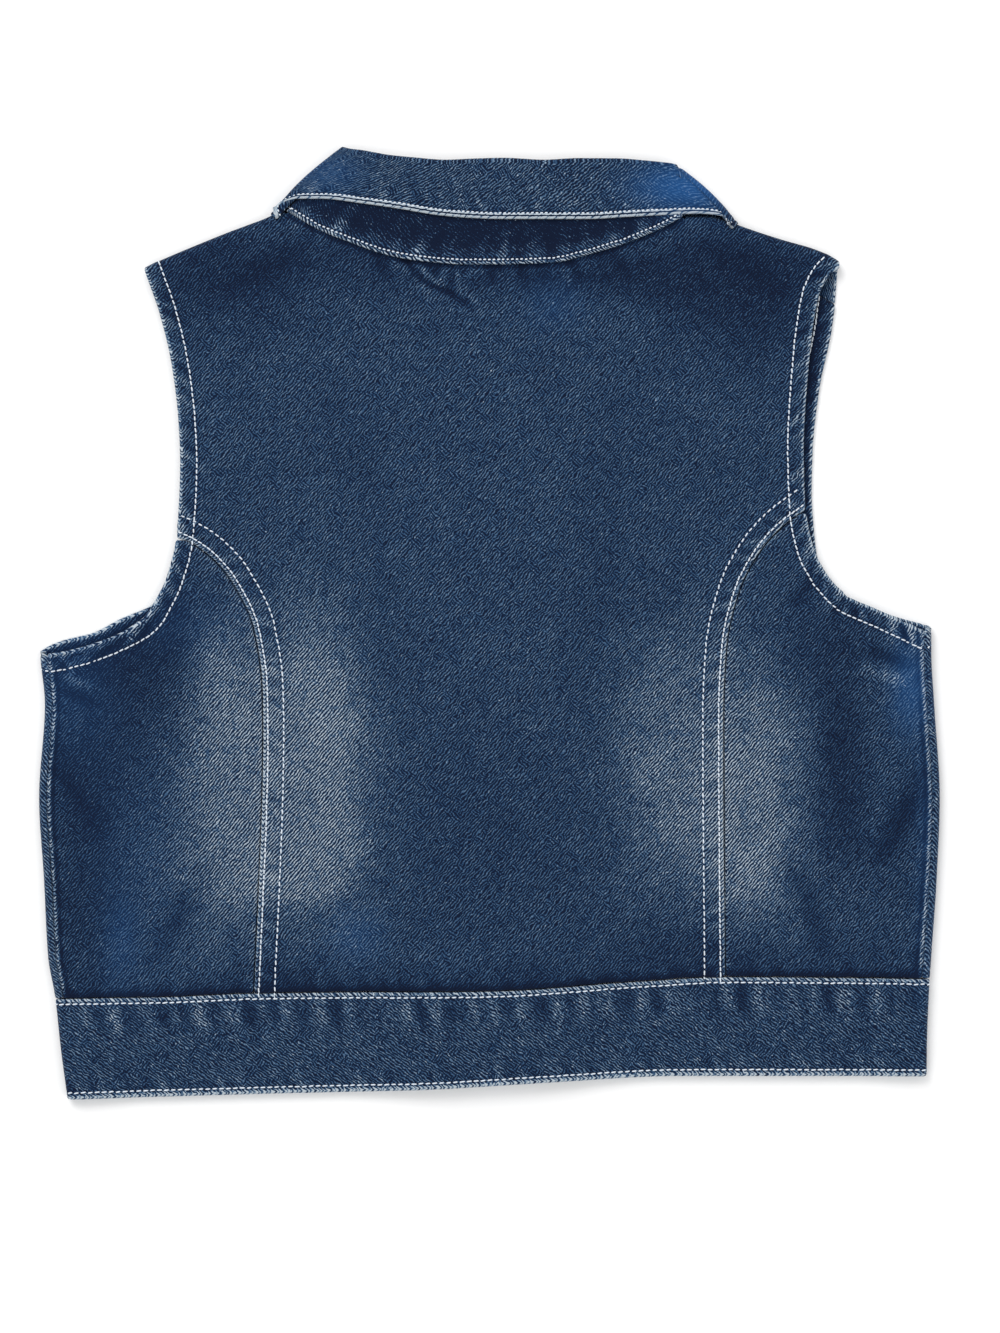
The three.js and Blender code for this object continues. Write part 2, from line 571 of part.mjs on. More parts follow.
function front(name, side) {
  const isLeft = side < 0;
  const outline = isLeft ? leftSide : rightSide;
  const table = isLeft ? FRONT_LEFT_ARMHOLE : FRONT_RIGHT_ARMHOLE;
  const armhole = line(table, 'y', 'x');
  const fromArmhole = isLeft ? fromFrontLeftArmhole : fromFrontRightArmhole;
  const underarm = table[0].y;
  const reach = SIDE_ROLL + HALF;
  const unrolled = Math.PI * SIDE_ROLL + SEAM_INSET - 2 * reach;
  const outer = (y) => (y < underarm ? outline(y) + side * (unrolled - SEAM_GAP / 2) : armhole(y));
  const centre = () => -side * OVERLAP;
  const wrap = isLeft ? LEFT_WRAP : RIGHT_WRAP;
  const neckX = isLeft ? LEFT_NECK_X : RIGHT_NECK_X;
  const shoulderY = (x) => backTop(x - wrap.x * SHOULDER_WRAP) + wrap.y * SHOULDER_WRAP - 2 * SEAM_GAP;
  const shoulderEnd = neckX + wrap.x * SHOULDER_WRAP;
  const necklineY = (x) => neckline(isLeft ? x : -(x - NECK_SHIFT * ease(3, 30, x))) - NECK_GAP;
  const topY = (x) => (side * (x - shoulderEnd) > -NEAR
    ? shoulderY(x)
    : Math.min(necklineY(x), shoulderY(shoulderEnd)));
  const outerTop = table[table.length - 1].x;
  const topX = isLeft ? { left: outerTop, right: centre() } : { left: centre(), right: outerTop };
  const rollInsets = [0, 1.6, 3.2, 4.8, 6.4, 8.2, 10.5];
  const lapInsets = [0, 2 * OVERLAP + 1, 33, 42, 52];
  const shareOf = (x) => {
    const from = Math.abs(outerTop) - rollInsets[rollInsets.length - 1];
    const to = lapInsets[lapInsets.length - 1] - OVERLAP;
    return (from - Math.abs(x)) / (from - to);
  };
  const shares = [
    ...steps(0, shareOf(shoulderEnd), 4).slice(1),
    ...steps(shareOf(shoulderEnd), 1, 5).slice(1, -1),
  ];
  const outerRows = [...sideRows(side, underarm), ...table.slice(1).map((row) => row.y)];
  const centreY = necklineY(centre());
  const centreRows = steps(waistLine(0) + SEAM_GAP, centreY, outerRows.length - 1);
  const plan = panelPlan({
    left: isLeft ? outer : centre,
    right: isLeft ? centre : outer,
    bottom: (x) => waistLine(Math.sign(x) * Math.min(Math.abs(x), 195)) + SEAM_GAP,
    top: topY,
    topX,
    ys: isLeft ? { left: outerRows, right: centreRows } : { left: centreRows, right: outerRows },
    insets: isLeft ? { left: rollInsets, right: lapInsets } : { left: lapInsets, right: rollInsets },
    middle: isLeft ? shares : shares.map((share) => 1 - share).toReversed(),
  });
  const lift = (x) => (isLeft ? STACK * lapped(x) : 0);
  const grid = plan.map((row) => row.map((p) => {
    const edge = outline(p.y);
    const seamX = edge - side * SEAM_INSET;
    return rolled(edge, side, SIDE_ROLL, CLOTH, p.x, p.y, frontHeight(p.x, p.y) + lift(p.x),
      backHeight(seamX, p.y));
  }));
  return wall(name, DARK_DENIM, grid, {
    above: (p, row, column) => {
      const flat = plan[row][column];
      return HALF + HEM_EXTRA * ease(HEM_WIDTH + 1, HEM_WIDTH - 1, fromArmhole(flat.x, flat.y));
    },
    below: () => HALF,
  });
}

// The waistband, one length all round: the right end lies lowest at the centre front

function waistband() {
  const reach = BAND_ROLL + BAND / 2;
  const sideX = (side, y) => (side < 0 ? leftSide(y) : rightSide(y)) - side * reach;
  const lower = (x, isLeft) => BAND / 2 + rise(OVER_BUTTONS, fromCentre(x))
    + (isLeft ? (BAND + SEAM_GAP) * lapped(x) : 0);
  const bottomStretch = (side, from, to) => steps(from, to, 9).map((share) => (y) => {
    const x = lerp(-side * OVERLAP, sideX(side, y), share);
    return new THREE.Vector3(x, y, lower(x, side < 0));
  });
  const roll = (side, angles) => angles.map((angle) => (y) => {
    const x = sideX(side, y);
    const over = bandUpperHeight(x, y);
    const under = lower(x, side < 0);
    const plan = x + side * BAND_ROLL * Math.sin(angle);
    return new THREE.Vector3(plan, y, lerp(under, over, (1 - Math.cos(angle)) / 2));
  });
  const rising = [30, 60, 90, 120, 150].map(THREE.MathUtils.degToRad);
  const top = steps(1, -1, 26).map((share) => (y) => {
    const x = lerp(sideX(-1, y), sideX(1, y), (share + 1) / 2);
    return new THREE.Vector3(x, y, bandUpperHeight(x, y));
  });
  const stations = [
    ...bottomStretch(1, 0, 1),
    ...roll(1, rising),
    ...top,
    ...roll(-1, rising.toReversed()),
    ...bottomStretch(-1, 1, 0),
  ];
  const grid = [0, 0.33, 0.67, 1].map((share) => stations.map((station) => {
    const guess = station(-187);
    return station(lerp(hemLine(guess.x), waistLine(guess.x), share));
  }));
  return wall('waistband', DENIM, grid, { above: () => BAND / 2, below: () => BAND / 2 });
}

// The collar: stand, fold and fall, from one front end round the back to the other

const FALL_HEIGHT = COLLAR / 2;                                   // fall on the floor, at the front
const FRONT_MIDDLE = FALL_HEIGHT + LEAF_PITCH / 2;                // between fall and stand there
const BACK_MIDDLE = FRONT_MIDDLE + 2 * COLLAR_TURN;               // the same at the back

function collarStation({ neck, fold, leaf, bow = 0, turned = 0, inset = 0 }) {
  const middle = lerp(BACK_MIDDLE, FRONT_MIDDLE, (1 - Math.cos(turned)) / 2);
  const side = Math.sign(leaf[0]);
  const toPoint = ([x, y]) => new THREE.Vector3(x, y, 0);
  const up = new THREE.Vector3(0, 0, Math.cos(turned));
  // The unit vector across a leaf's face, away from the neck, and the one along it to the fold
  const frameOf = (from, to) => {
    const along = to.clone().sub(from).normalize();
    const outward = new THREE.Vector3(side * along.y, -side * along.x, 0);
    return { along, outward, across: up.clone().addScaledVector(outward, Math.sin(turned)) };
  };
  const free = frameOf(toPoint(leaf), toPoint(fold));
  const sewn = frameOf(toPoint(neck), toPoint(fold));
  const outerInset = inset * (COLLAR_TURN + LEAF_PITCH / 2 + COLLAR / 2);
  const innerInset = inset * (COLLAR_TURN - LEAF_PITCH / 2 + COLLAR / 2);
  const placed = (point, frame, pull, offset) => {
    const swing = inset * COLLAR_TURN * Math.sin(turned);
    return point.clone()
      .addScaledVector(frame.outward, swing - pull)
      .addScaledVector(frame.across, offset)
      .setZ(middle + offset * Math.cos(turned));
  };
  const half = LEAF_PITCH / 2;
  const foldCentre = toPoint(fold).addScaledVector(sewn.along, -half - COLLAR / 2);
  const freeCentre = toPoint(fold).addScaledVector(free.along, -half - COLLAR / 2);
  const stand = steps(0, 1, 3).map((share) => placed(
    toPoint(neck).lerp(foldCentre, share), sewn, lerp(innerInset, outerInset, share), -half));
  const rollOver = [45, 90, 135].map(THREE.MathUtils.degToRad).map((angle) => {
    const share = (1 - Math.cos(angle)) / 2;
    const inner = placed(foldCentre, sewn, outerInset, -half * Math.cos(angle));
    const outer = placed(freeCentre, free, outerInset, -half * Math.cos(angle));
    return inner.lerp(outer, share)
      .addScaledVector(sewn.along, half * Math.sin(angle) * (1 - share))
      .addScaledVector(free.along, half * Math.sin(angle) * share);
  });
  const fall = steps(0, 1, 3).map((share) => {
    const bulge = bow * Math.sin(Math.PI * share);
    return placed(freeCentre.clone().lerp(toPoint(leaf), share), free, outerInset - bulge, half);
  });
  return [...stand, ...rollOver, ...fall];
}

function collar() {
  const turn = (station, angles) => angles.map((angle) => ({ ...station, turned: angle, inset: 1 }));
  const angles = [0, 45, 90, 135, 180].map(THREE.MathUtils.degToRad);
  const atFront = (station) => ({ ...station, turned: Math.PI });
  const stations = [
    ...COLLAR_LEFT_FRONT.toReversed().map(atFront),
    ...turn(LEFT_TURN, angles.toReversed()),
    ...COLLAR_BACK,
    ...turn(RIGHT_TURN, angles),
    ...COLLAR_RIGHT_FRONT.map(atFront),
  ];
  const sections = stations.map(collarStation);
  const grid = sections[0].map((_, row) => sections.map((section) => section[row]));
  return wall('collar', DENIM, grid, { above: () => COLLAR / 2, below: () => COLLAR / 2 });
}

// A plain flat button under the overlap, face down

function button(name, y) {
  const { radius, height, bevel } = BUTTON;
  const profile = [
    [0, 0], [radius - bevel, 0], [radius, bevel], [radius, height - bevel], [radius - bevel, height], [0, height],
  ].map(([x, z]) => new THREE.Vector2(x, z));
  const geometry = new THREE.LatheGeometry(profile, 20);
  geometry.rotateX(Math.PI / 2);
  geometry.translate(0, y, 0);
  const material = new THREE.MeshStandardMaterial({ color: METAL, roughness: 0.4, metalness: 0.9 });
  const mesh = new THREE.Mesh(geometry, material);
  mesh.name = name;
  return mesh;
}

const vest = new THREE.Group();
vest.name = 'denim_vest';
vest.add(
  backCentre(),
  backSide('back_side_left', -1),
  backSide('back_side_right', 1),
  front('front_left', -1),
  front('front_right', 1),
  waistband(),
  collar(),
  ...BUTTON_ROWS.map((y, index) => button(`button_${index + 1}`, y)),
);

// The origin is the middle of the resting side
const box = new THREE.Box3().setFromObject(vest);
const middle = box.getCenter(new THREE.Vector3());
vest.position.set(-middle.x, -middle.y, -box.min.z);

export default vest;
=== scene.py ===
import math

import bpy
import numpy as np
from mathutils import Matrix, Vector


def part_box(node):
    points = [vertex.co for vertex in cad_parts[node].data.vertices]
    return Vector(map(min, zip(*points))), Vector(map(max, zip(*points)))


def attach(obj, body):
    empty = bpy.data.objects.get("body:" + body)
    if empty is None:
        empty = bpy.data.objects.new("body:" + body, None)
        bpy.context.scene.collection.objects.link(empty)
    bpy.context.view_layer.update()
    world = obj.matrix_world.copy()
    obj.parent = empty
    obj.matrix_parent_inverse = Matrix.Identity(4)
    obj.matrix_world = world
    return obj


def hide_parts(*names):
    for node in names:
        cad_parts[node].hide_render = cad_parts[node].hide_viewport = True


bl_info = {
    "name": "Denim Vest",
    "version": (1, 0, 0),
    "blender": (4, 5, 0),
    "location": "3D View > Sidebar > Denim Vest",
    "description": "A cropped denim vest laid flat with its back up, as thin cloth shells with sewn seams",
    "category": "Object",
}

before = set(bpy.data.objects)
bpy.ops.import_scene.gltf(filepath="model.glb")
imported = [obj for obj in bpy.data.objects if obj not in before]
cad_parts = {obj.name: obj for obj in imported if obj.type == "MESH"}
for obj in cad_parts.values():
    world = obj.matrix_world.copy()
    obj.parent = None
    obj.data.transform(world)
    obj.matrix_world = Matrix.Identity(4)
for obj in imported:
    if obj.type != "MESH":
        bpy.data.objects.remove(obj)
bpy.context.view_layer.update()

# Units: the tables and the cloth are worked out in millimetres, and Blender gets metres
MM = 0.001
BUTTON_1_Y = 92.0
BUTTON_1_BOX = np.array([list(corner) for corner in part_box("button_1")]) / MM
SHIFT = np.array([*BUTTON_1_BOX.mean(0)[:2] - (0.0, BUTTON_1_Y), BUTTON_1_BOX[0][2]])

# The cloth
PLY = 1.2  # one ply of denim
HALF = PLY / 2
HEM_EXTRA = 1.0  # the turned armhole hem, inside
SEAM_EXTRA = 0.5  # hems and laps stand this proud of the back
HEM_WIDTH = 8.0
LAP_WIDTH = 10.8
BAND = 2.0
BAND_HEIGHT = 45.0
COLLAR = 1.6
GAP = 0.3
NECK_GAP = 0.8
SIDE_ROLL = 2.2
BAND_ROLL = 2.0
SEAM_INSET = 4.0
SHOULDER_WRAP = 19.0
OVERLAP = 12.0
BUTTON_HEIGHT = 1.6
BUTTON_RADIUS = 8.5
BUTTON_COUNT = 5
FRONT_LIFT = BUTTON_HEIGHT + GAP
STACK = PLY + GAP
LEAF_PITCH = COLLAR + GAP
COLLAR_TURN = 2.15
FRONT_MIDDLE = COLLAR / 2 + LEAF_PITCH / 2
BACK_MIDDLE = FRONT_MIDDLE + 2 * COLLAR_TURN
BACK_BASE = 2.6
BAND_BASE = 3.4
FAR = 99.0  # stands for a distance from an edge that a place isn't near

# By side: -1 is the wearer's left and 1 the right
SIDE_NAMES = {-1: "left", 1: "right"}
TIP = {-1: 39.2, 1: 51.3}  # where the curved seams run into the armholes
NECK_END = {-1: -92.0, 1: 88.0}
# the way that the shoulder runs on under the fold
WRAP = {side: np.array((x, y)) / math.hypot(x, y) for side, x, y in ((-1, 0.36, -0.93), (1, -0.08, -1.0))}

# Where stitches run, in from the edge they follow
ARMHOLE_ROW = 7.3
LAP_ROWS = (2.3, 9.4)
BAND_TOP_ROW = 2.4
BAND_HEM_ROW = 3.0
FALL_ROW = 2.5
STAND_ROW = 2.0
PLACKET_ROW = 6.0
STAND_LAP = 1.5
STITCH_LIFT = 0.12  # how far a stitch's middle stands off the cloth
GROOVE = 0.32  # how deep a row of stitches pulls the cloth in
GROOVE_WIDTH = 0.75

# The outline tables. Sides: y, left x, right x. Hem, waist, back and neck: x, y. The rest: y, x
SIDES = (
    (-214, -189.6, 196), (-190, -192.8, 196.2), (-168, -195.2, 197), (-149, -198.5, 198.2),
    (-115, -200.3, 200.6), (-78, -202.5, 202), (-36, -199.9, 199.5), (-12, -202, 198.2),
    (0, -202, 198.2),
)
HEM = (
    (-190, -213.4), (-104, -211), (-41, -209.3), (32, -205.2), (86, -203), (196, -203),
)
WAIST = (
    (-195, -168.3), (-147, -167.7), (-105, -166), (0, -164.7), (67, -160.7), (106, -158.6),
    (197, -159.3),
)
SEAMS = {
    -1: (
        (-170, -106.2), (-49, -102), (-29, -102.3), (-2, -106.2), (19, -116.1), (28, -123.3),
        (36, -133.7), (39.2, -140.6),
    ),
    1: (
        (-170, 105.8), (-40, 105), (-10, 106.4), (14, 111.8), (34, 122.4), (45, 133), (51.3, 141.8),
    ),
}
ARMHOLES = {
    -1: (
        (-14.2, -198), (-13.4, -193.2), (-9.7, -179.6), (-4, -165.6), (2.7, -154.8), (10.4, -149.9),
        (21.2, -144.9), (39.2, -140.6), (73, -138.8), (92, -139.7), (116, -142.7), (138, -147.8),
        (160, -155.3),
    ),
    1: (
        (-3.5, 194.2), (0.6, 185.9), (4.4, 177.8), (8, 169.7), (12.6, 160), (24.6, 149.6),
        (35.1, 144.8), (51.3, 141.8), (78, 140.9), (119, 143.3), (146, 147.1), (157, 152.5),
        (159.7, 156.4), (162.5, 157.4),
    ),
}
FRONT_ARMHOLES = {
    -1: (
        (-14.2, -207.3), (-13.5, -205.1), (-12.5, -202.7), (-11.4, -200.4), (-10.2, -197.8),
        (-8.3, -193.2), (-4.9, -179.5), (2, -165.7), (8.2, -151.9), (25, -139), (50, -133),
        (80, -131.5), (110, -134.5), (142, -147.4),
    ),
    1: (
        (-3.5, 203.5), (-2.7, 201.3), (-1.8, 198.9), (-1, 196.2), (0, 192), (3.5, 180), (8, 166),
        (14, 155.5), (26.6, 147.4), (45, 145), (59, 144.2), (78, 144.7), (105, 147.6), (132, 153.2),
        (144, 154.8),
    ),
}
BACK_TOP = (
    (-155.3, 159.8), (-135.5, 168.3), (-118.8, 175), (-108, 179), (-99, 182.4), (-92, 185.6),
    (-85.5, 182.3), (-77, 177.8), (-61.6, 171.5), (-46, 166.1), (-30.6, 163.3), (-11, 161.8),
    (4.5, 161.8), (28, 162.6), (43, 166), (58.7, 170.7), (74, 177.1), (82, 181), (88, 183), (98, 182.8),
    (106, 180.9), (113, 178.3), (121, 175.6), (130.5, 172.6), (146, 168), (157.4, 162.5),
)
NECKLINE = (
    (-83.4, 165.2), (-78, 155), (-72.5, 145.6), (-64, 136.6), (-54, 128.5), (-41, 122), (-28, 118),
    (-3, 114.6), (12, 114.2),
)
NECK_SHIFT = 3.4
# The collar's stations: neck x and y, fold x and y, leaf x and y
COLLAR_FRONT_LEFT = (
    (-3, 115.4, -3, 124, -50, 90), (-27.8, 118.7, -17, 136, -70, 99),
    (-53.5, 129.2, -33, 152, -89, 116), (-72, 146.2, -46, 171, -101, 137),
    (-82.4, 166, -57, 192, -104, 160),
)
COLLAR_BACK = (
    (-90, 186, -66.2, 213.7, -97, 186), (-88.6, 185.2, -65.2, 213.5, -94.7, 187.9),
    (-86.6, 183.9, -63.8, 213.1, -91.2, 189.6), (-84.2, 182.5, -62.3, 212.7, -86.6, 190.7),
    (-77.2, 178.4, -57, 212, -77, 190.7), (-61.8, 172.1, -44.5, 209.8, -57, 188.4),
    (-46, 166.7, -33, 208.7, -40, 185.9), (-30.6, 163.9, -20.5, 207.8, -24, 183.2),
    (-11.2, 162.4, -7, 208.4, -9, 181.9), (4.5, 162.4, 6, 208.8, 5, 181.4),
    (27.9, 163.2, 24, 208, 27, 181.4), (43.2, 166.7, 40, 208.8, 44, 181.4),
    (58.7, 171.3, 56, 208.8, 61, 182.3), (74.3, 177.7, 70.5, 207.8, 80, 183.3),
    (81, 181, 78.5, 206.9, 94.5, 183.9), (85, 183.2, 82.5, 206.2, 104.5, 183),
)
COLLAR_FRONT_RIGHT = (
    (85.8, 165, 64, 188, 110, 158), (75.6, 146.2, 50, 169, 104, 136), (57, 129.2, 36, 151, 92, 116),
    (30.6, 118.7, 19, 136, 72, 99), (3, 115.4, 3, 124, 51, 90),
)
# Where the collar turns over, with the leaf's bow after the same six
LEFT_TURN = (-91.2, 186.8, -67.2, 213.9, -98.5, 183.9, 1.3)
RIGHT_TURN = (87.4, 184.4, 85.5, 205.3, 111.4, 179.7, 1.6)


# Lines and heights

def ease(start, full, value):
    """0 at start, 1 at full, level at both ends; start may be the larger."""
    t = np.clip((np.asarray(value, float) - start) / (full - start), 0, 1)
    return t * t * (3 - 2 * t)


def lerp(a, b, t):
    return a + (b - a) * t


def bell(distance, width):
    return np.exp(-((np.asarray(distance, float) / width) ** 2))


def unit(vector):
    return vector / np.maximum(np.linalg.norm(vector, axis=-1), 1e-9)[..., None]


def lengths_along(points):
    """The length from the first point to each of them."""
    return np.concatenate([[0], np.cumsum(np.linalg.norm(np.diff(points, axis=0), axis=1))])


def slope(line, at, reach=0.5):
    return (line(at + reach) - line(at - reach)) / (2 * reach)


def together(*humps):
    """One smooth height over several humps, never lower than the highest."""
    return np.cbrt(sum(np.asarray(h, float) ** 3 for h in humps))


class Line:
    """A smooth line through a table's rows that never overshoots them."""

    def __init__(self, rows, value=1):
        rows = np.array(sorted(tuple(map(float, r)) for r in rows))
        self.at, self.values = rows[:, 0], rows[:, value]
        slopes = np.diff(self.values) / np.diff(self.at)
        inner = slopes[:-1] * slopes[1:]
        total = slopes[:-1] + slopes[1:]
        bent = np.where(inner > 0, 2 * inner / np.where(total == 0, 1, total), 0)
        self.tangents = np.concatenate([[slopes[0]], bent, [slopes[-1]]])

    def __call__(self, at):
        at = np.clip(np.asarray(at, float), self.at[0], self.at[-1])
        i = np.clip(np.searchsorted(self.at, at, side="right") - 1, 0, len(self.at) - 2)
        span = self.at[i + 1] - self.at[i]
        t = (at - self.at[i]) / span
        start = self.values[i] * (1 + 2 * t) + self.tangents[i] * span * t
        end = self.values[i + 1] * (3 - 2 * t) - self.tangents[i + 1] * span * (1 - t)
        return start * (1 - t) ** 2 + end * t**2


class Path:
    """A polyline in plan, with the distance of any point from it and the length along it."""

    def __init__(self, points):
        self.points = np.asarray(points, float)
        self.lengths = lengths_along(self.points)

    @classmethod
    def of(cls, line, low, high, count=160):
        """The path of x for a y, from low to high."""
        y = np.linspace(low, high, count)
        return cls(np.column_stack([line(y), y]))

    @classmethod
    def across(cls, line, low, high, count=160):
        """The path of y for an x, from low to high."""
        x = np.linspace(low, high, count)
        return cls(np.column_stack([x, line(x)]))

    def near(self, x, y):
        """(distance, length along the path) of each point."""
        flat = np.column_stack([np.ravel(x), np.ravel(y)])
        best = np.full(len(flat), np.inf)
        along = np.zeros(len(flat))
        for i, (a, b) in enumerate(zip(self.points[:-1], self.points[1:], strict=True)):
            way = b - a
            t = np.clip((flat - a) @ way / max(way @ way, 1e-12), 0, 1)
            far = np.hypot(*(flat - a - t[:, None] * way).T)
            closer = far < best
            best[closer] = far[closer]
            along[closer] = (self.lengths[i] + t * math.hypot(*way))[closer]
        return best.reshape(np.shape(x)), along.reshape(np.shape(x))

    def spaced(self, pitch):
        """Points pitch apart along the path."""
        at = np.arange(pitch / 2, self.lengths[-1], pitch)
        return np.column_stack([np.interp(at, self.lengths, self.points[:, k]) for k in (0, 1)])

    def aside(self, distance, extend=0.0):
        """The path moved sideways, to the right of its direction, without its doubled stretches."""
        points = self.points
        if extend:
            start, end = points[0] - points[1], points[-1] - points[-2]
            points = np.vstack([points[0] + start / np.linalg.norm(start) * extend, points,
                                points[-1] + end / np.linalg.norm(end) * extend])
        way = unit(np.gradient(points, axis=0))
        moved = points + np.column_stack([way[:, 1], -way[:, 0]]) * distance
        kept = Path(points).near(moved[:, 0], moved[:, 1])[0] > abs(distance) - 0.05
        return Path(moved[kept])


def even_rows(line, low, high, count):
    """y values from low to high, at even lengths along the line x(y)."""
    path = Path.of(line, low, high, 400)
    at = np.linspace(0, path.lengths[-1], count + 1)
    return np.interp(at, path.lengths, path.points[:, 1])


hem_line, waist_line, back_top, neckline = map(Line, (HEM, WAIST, BACK_TOP, NECKLINE))
# x for a y, by side
side_line = {-1: Line(SIDES, 1), 1: Line(SIDES, 2)}
seam, armhole, front_armhole = (
    {side: Line(rows) for side, rows in given.items()} for given in (SEAMS, ARMHOLES, FRONT_ARMHOLES))

SEAM_PATHS = {side: Path.of(seam[side], low, TIP[side]) for side, low in ((-1, -166), (1, -159))}
ARMHOLE_PATHS = {
    side: Path.of(armhole[side], *ends) for side, ends in ((-1, (-14.2, 160)), (1, (-3.5, 162.5)))}
FRONT_ARMHOLE_PATHS = {
    side: Path.of(front_armhole[side], *ends) for side, ends in ((-1, (-14.2, 142)), (1, (-3.5, 144)))}
NECK_PATH = Path.across(back_top, NECK_END[-1], NECK_END[1])


def over_buttons(x):
    return FRONT_LIFT * ease(32, 12, np.abs(x))


def over_collar(x, y):
    return FRONT_LIFT * ease(130, 114, np.abs(x)) * ease(68, 86, y)


def front_height(x, y):
    return HALF + np.maximum(over_buttons(x), over_collar(x, y))


def lapped(x):
    return ease(-28, -13, x)


def foot(x):
    """y of the panels' lower edge, just over the waistband."""
    return waist_line(x) + GAP + HALF


def from_sides(x, y):
    return np.minimum(x - side_line[-1](y), side_line[1](y) - x)


def from_armholes(x, y):
    return np.where(np.asarray(x) < 0, *(ARMHOLE_PATHS[side].near(x, y)[0] for side in (-1, 1)))


def back_height(x, y):
    centre = ease(66, 14, np.abs(x))
    from_waist = y - waist_line(x)
    return BACK_BASE + together(
        2.9 * centre,
        4.7 * centre * ease(45, 3, from_waist),
        0.7 * ease(30, 3, from_waist),
        2.4 * ease(34, SEAM_INSET, from_sides(x, y)) * ease(40, 10, y),
        2.5 * ease(38, 4, back_top(x) - y),
        1.6 * ease(146, 116, np.abs(x)) * ease(64, 82, y),
        1.2 * ease(28, 11, from_armholes(x, y)),
    )


def band_upper_height(x, y):
    return BAND_BASE + together(4.1 * ease(70, 14, np.abs(x)), 1.6 * ease(34, SEAM_INSET, from_sides(x, y)))


# Creases, puckers and wear, and darker places with painted shade among them. Each is a soft trough or
# ridge.

# Creases on the back: start x, y, end x, y, half width, height (a trough is below 0)
BACK_CREASES = (
    (-41, 165, -36.5, 162.6, 1.3, -1.04), (-37, 162.5, -33.5, 157, 1.1, -0.66),
    (-33.8, 157, -25.5, 151.2, 1.2, -0.83), (-25, 151, -18, 148.2, 1.3, -0.94),
    (-17.5, 148.6, -8.5, 142.2, 1.5, -0.55), (-19.5, 150.5, -15.5, 146, 1, -0.66),
    (-16.9, 160.5, -16.4, 151, 1.1, -0.5), (-28.5, 163, -25.5, 158, 1.1, -0.5),
    (-33.8, 162.5, -29.5, 158, 1.3, 0.72), (-30, 157.5, -21, 151.9, 1.4, 0.66),
    (-22.5, 161.8, -20, 155.5, 1.5, 0.5), (-14.2, 160.8, -14, 150.5, 1.4, 0.5),
    (-13.5, 149, -6, 144, 1.6, 0.33), (-36.5, 154.5, -24, 146, 2, 0.28),
    (-192, -30, -176, -36, 2, -0.7), (-190, -24, -178, -29, 2.2, 0.8), (-8, 160.8, -9.5, 156, 1.5, 0.6),
    (35, 163.5, 38.5, 158.5, 1.3, -0.6), (38, 158.8, 41, 153.5, 1.3, -0.7),
    (40, 163, 43.5, 156, 1.4, 0.5), (33, 159, 35.5, 153.5, 1.4, 0.5),
    (22, 160.5, 23.5, 154.5, 1.5, -0.6), (14, 160.5, 16, 152, 2.4, -0.6),
    (2, 160.5, 0, 153, 2.2, -0.45), (-52, 166.5, -47, 156, 2.6, -0.7), (-22, 162, -25, 156, 1.8, -0.7),
    (55, 167, 62, 156, 2.8, -0.6), (160.5, 13.5, 155, 4.5, 1.5, -0.9), (157.5, 14.5, 152, 7, 1.4, 0.7),
    (166, 9.5, 161.5, 1.5, 1.6, -0.6), (181, 2.5, 179.5, -6, 1.5, 0.9), (184.5, 1, 187, -8, 1.3, -1),
    (188.5, -1.5, 190.5, -9.5, 1.4, 1), (172, -12, 188, -19, 2.2, -0.9), (168, -20, 186, -26, 2.6, 0.7),
    (-173, -10, -184, -18.5, 1.7, 1.1), (-164, -7, -178, -16.5, 1.5, -1.1),
    (-153.5, 4, -164, -9, 1.8, 1.3), (-150, 3, -160, -11, 1.3, -1), (-146.5, 14, -152.5, 2, 1.5, 0.9),
    (-194, -16, -190.5, -21.5, 1.3, -0.8), (-191, -14.5, -187, -22.5, 1.4, 0.7),
    (-146, 12, -137, 3, 2.4, -0.6), (146.5, 20, 136, 9, 2.6, -0.6), (-118, 150, -88, 166, 5, -0.5),
    (104, 166, 130, 150, 5, -0.5), (-196, -60, -176, -92, 5.5, -0.6), (194, -70, 176, -104, 5.5, -0.6),
    (-60, 92, -42, -20, 11, -0.1), (58, 84, 44, -36, 12, -0.12), (-150, -150, -128, -112, 6, -0.5),
    (150, -144, 134, -108, 6, -0.5),
)
# Soft folds in the fronts, which lift them a little off the floor
FRONT_CREASES = (
    (-60, 70, -104, 92, 4, 0.42), (-48, -40, -92, -66, 5, 0.35), (-120, -148, -136, -104, 4.5, 0.4),
    (-172, -60, -148, -84, 5, 0.38), (-150, 0, -126, -22, 3.6, 0.4), (56, 64, 100, 88, 4.4, 0.4),
    (44, -52, 96, -70, 5.5, 0.32), (126, -150, 134, -110, 4.5, 0.4), (176, -72, 146, -92, 4.6, 0.36),
    (150, 4, 124, -16, 3.8, 0.4),
)
# Washed zones on the back: centre x, y, half width, half height, strength
FADES = (
    (-118, -56, 25, 54, 0.59), (-124, -15, 16, 20, 0.2), (-116, -116, 28, 26, 0.38),
    (-76, -50, 23, 52, 0.66), (-84, -6, 17, 26, 0.12), (-76, -108, 24, 25, 0.42),
    (-62, -64, 12, 32, 0.1), (75, -55, 22.5, 50, 0.45), (84, -96, 18, 30, 0.2),
    (118, -60, 25, 48, 0.63), (90, -4, 17, 22, 0.12), (117, -113, 26, 26, 0.42), (0, 40, 90, 60, 0.02),
)
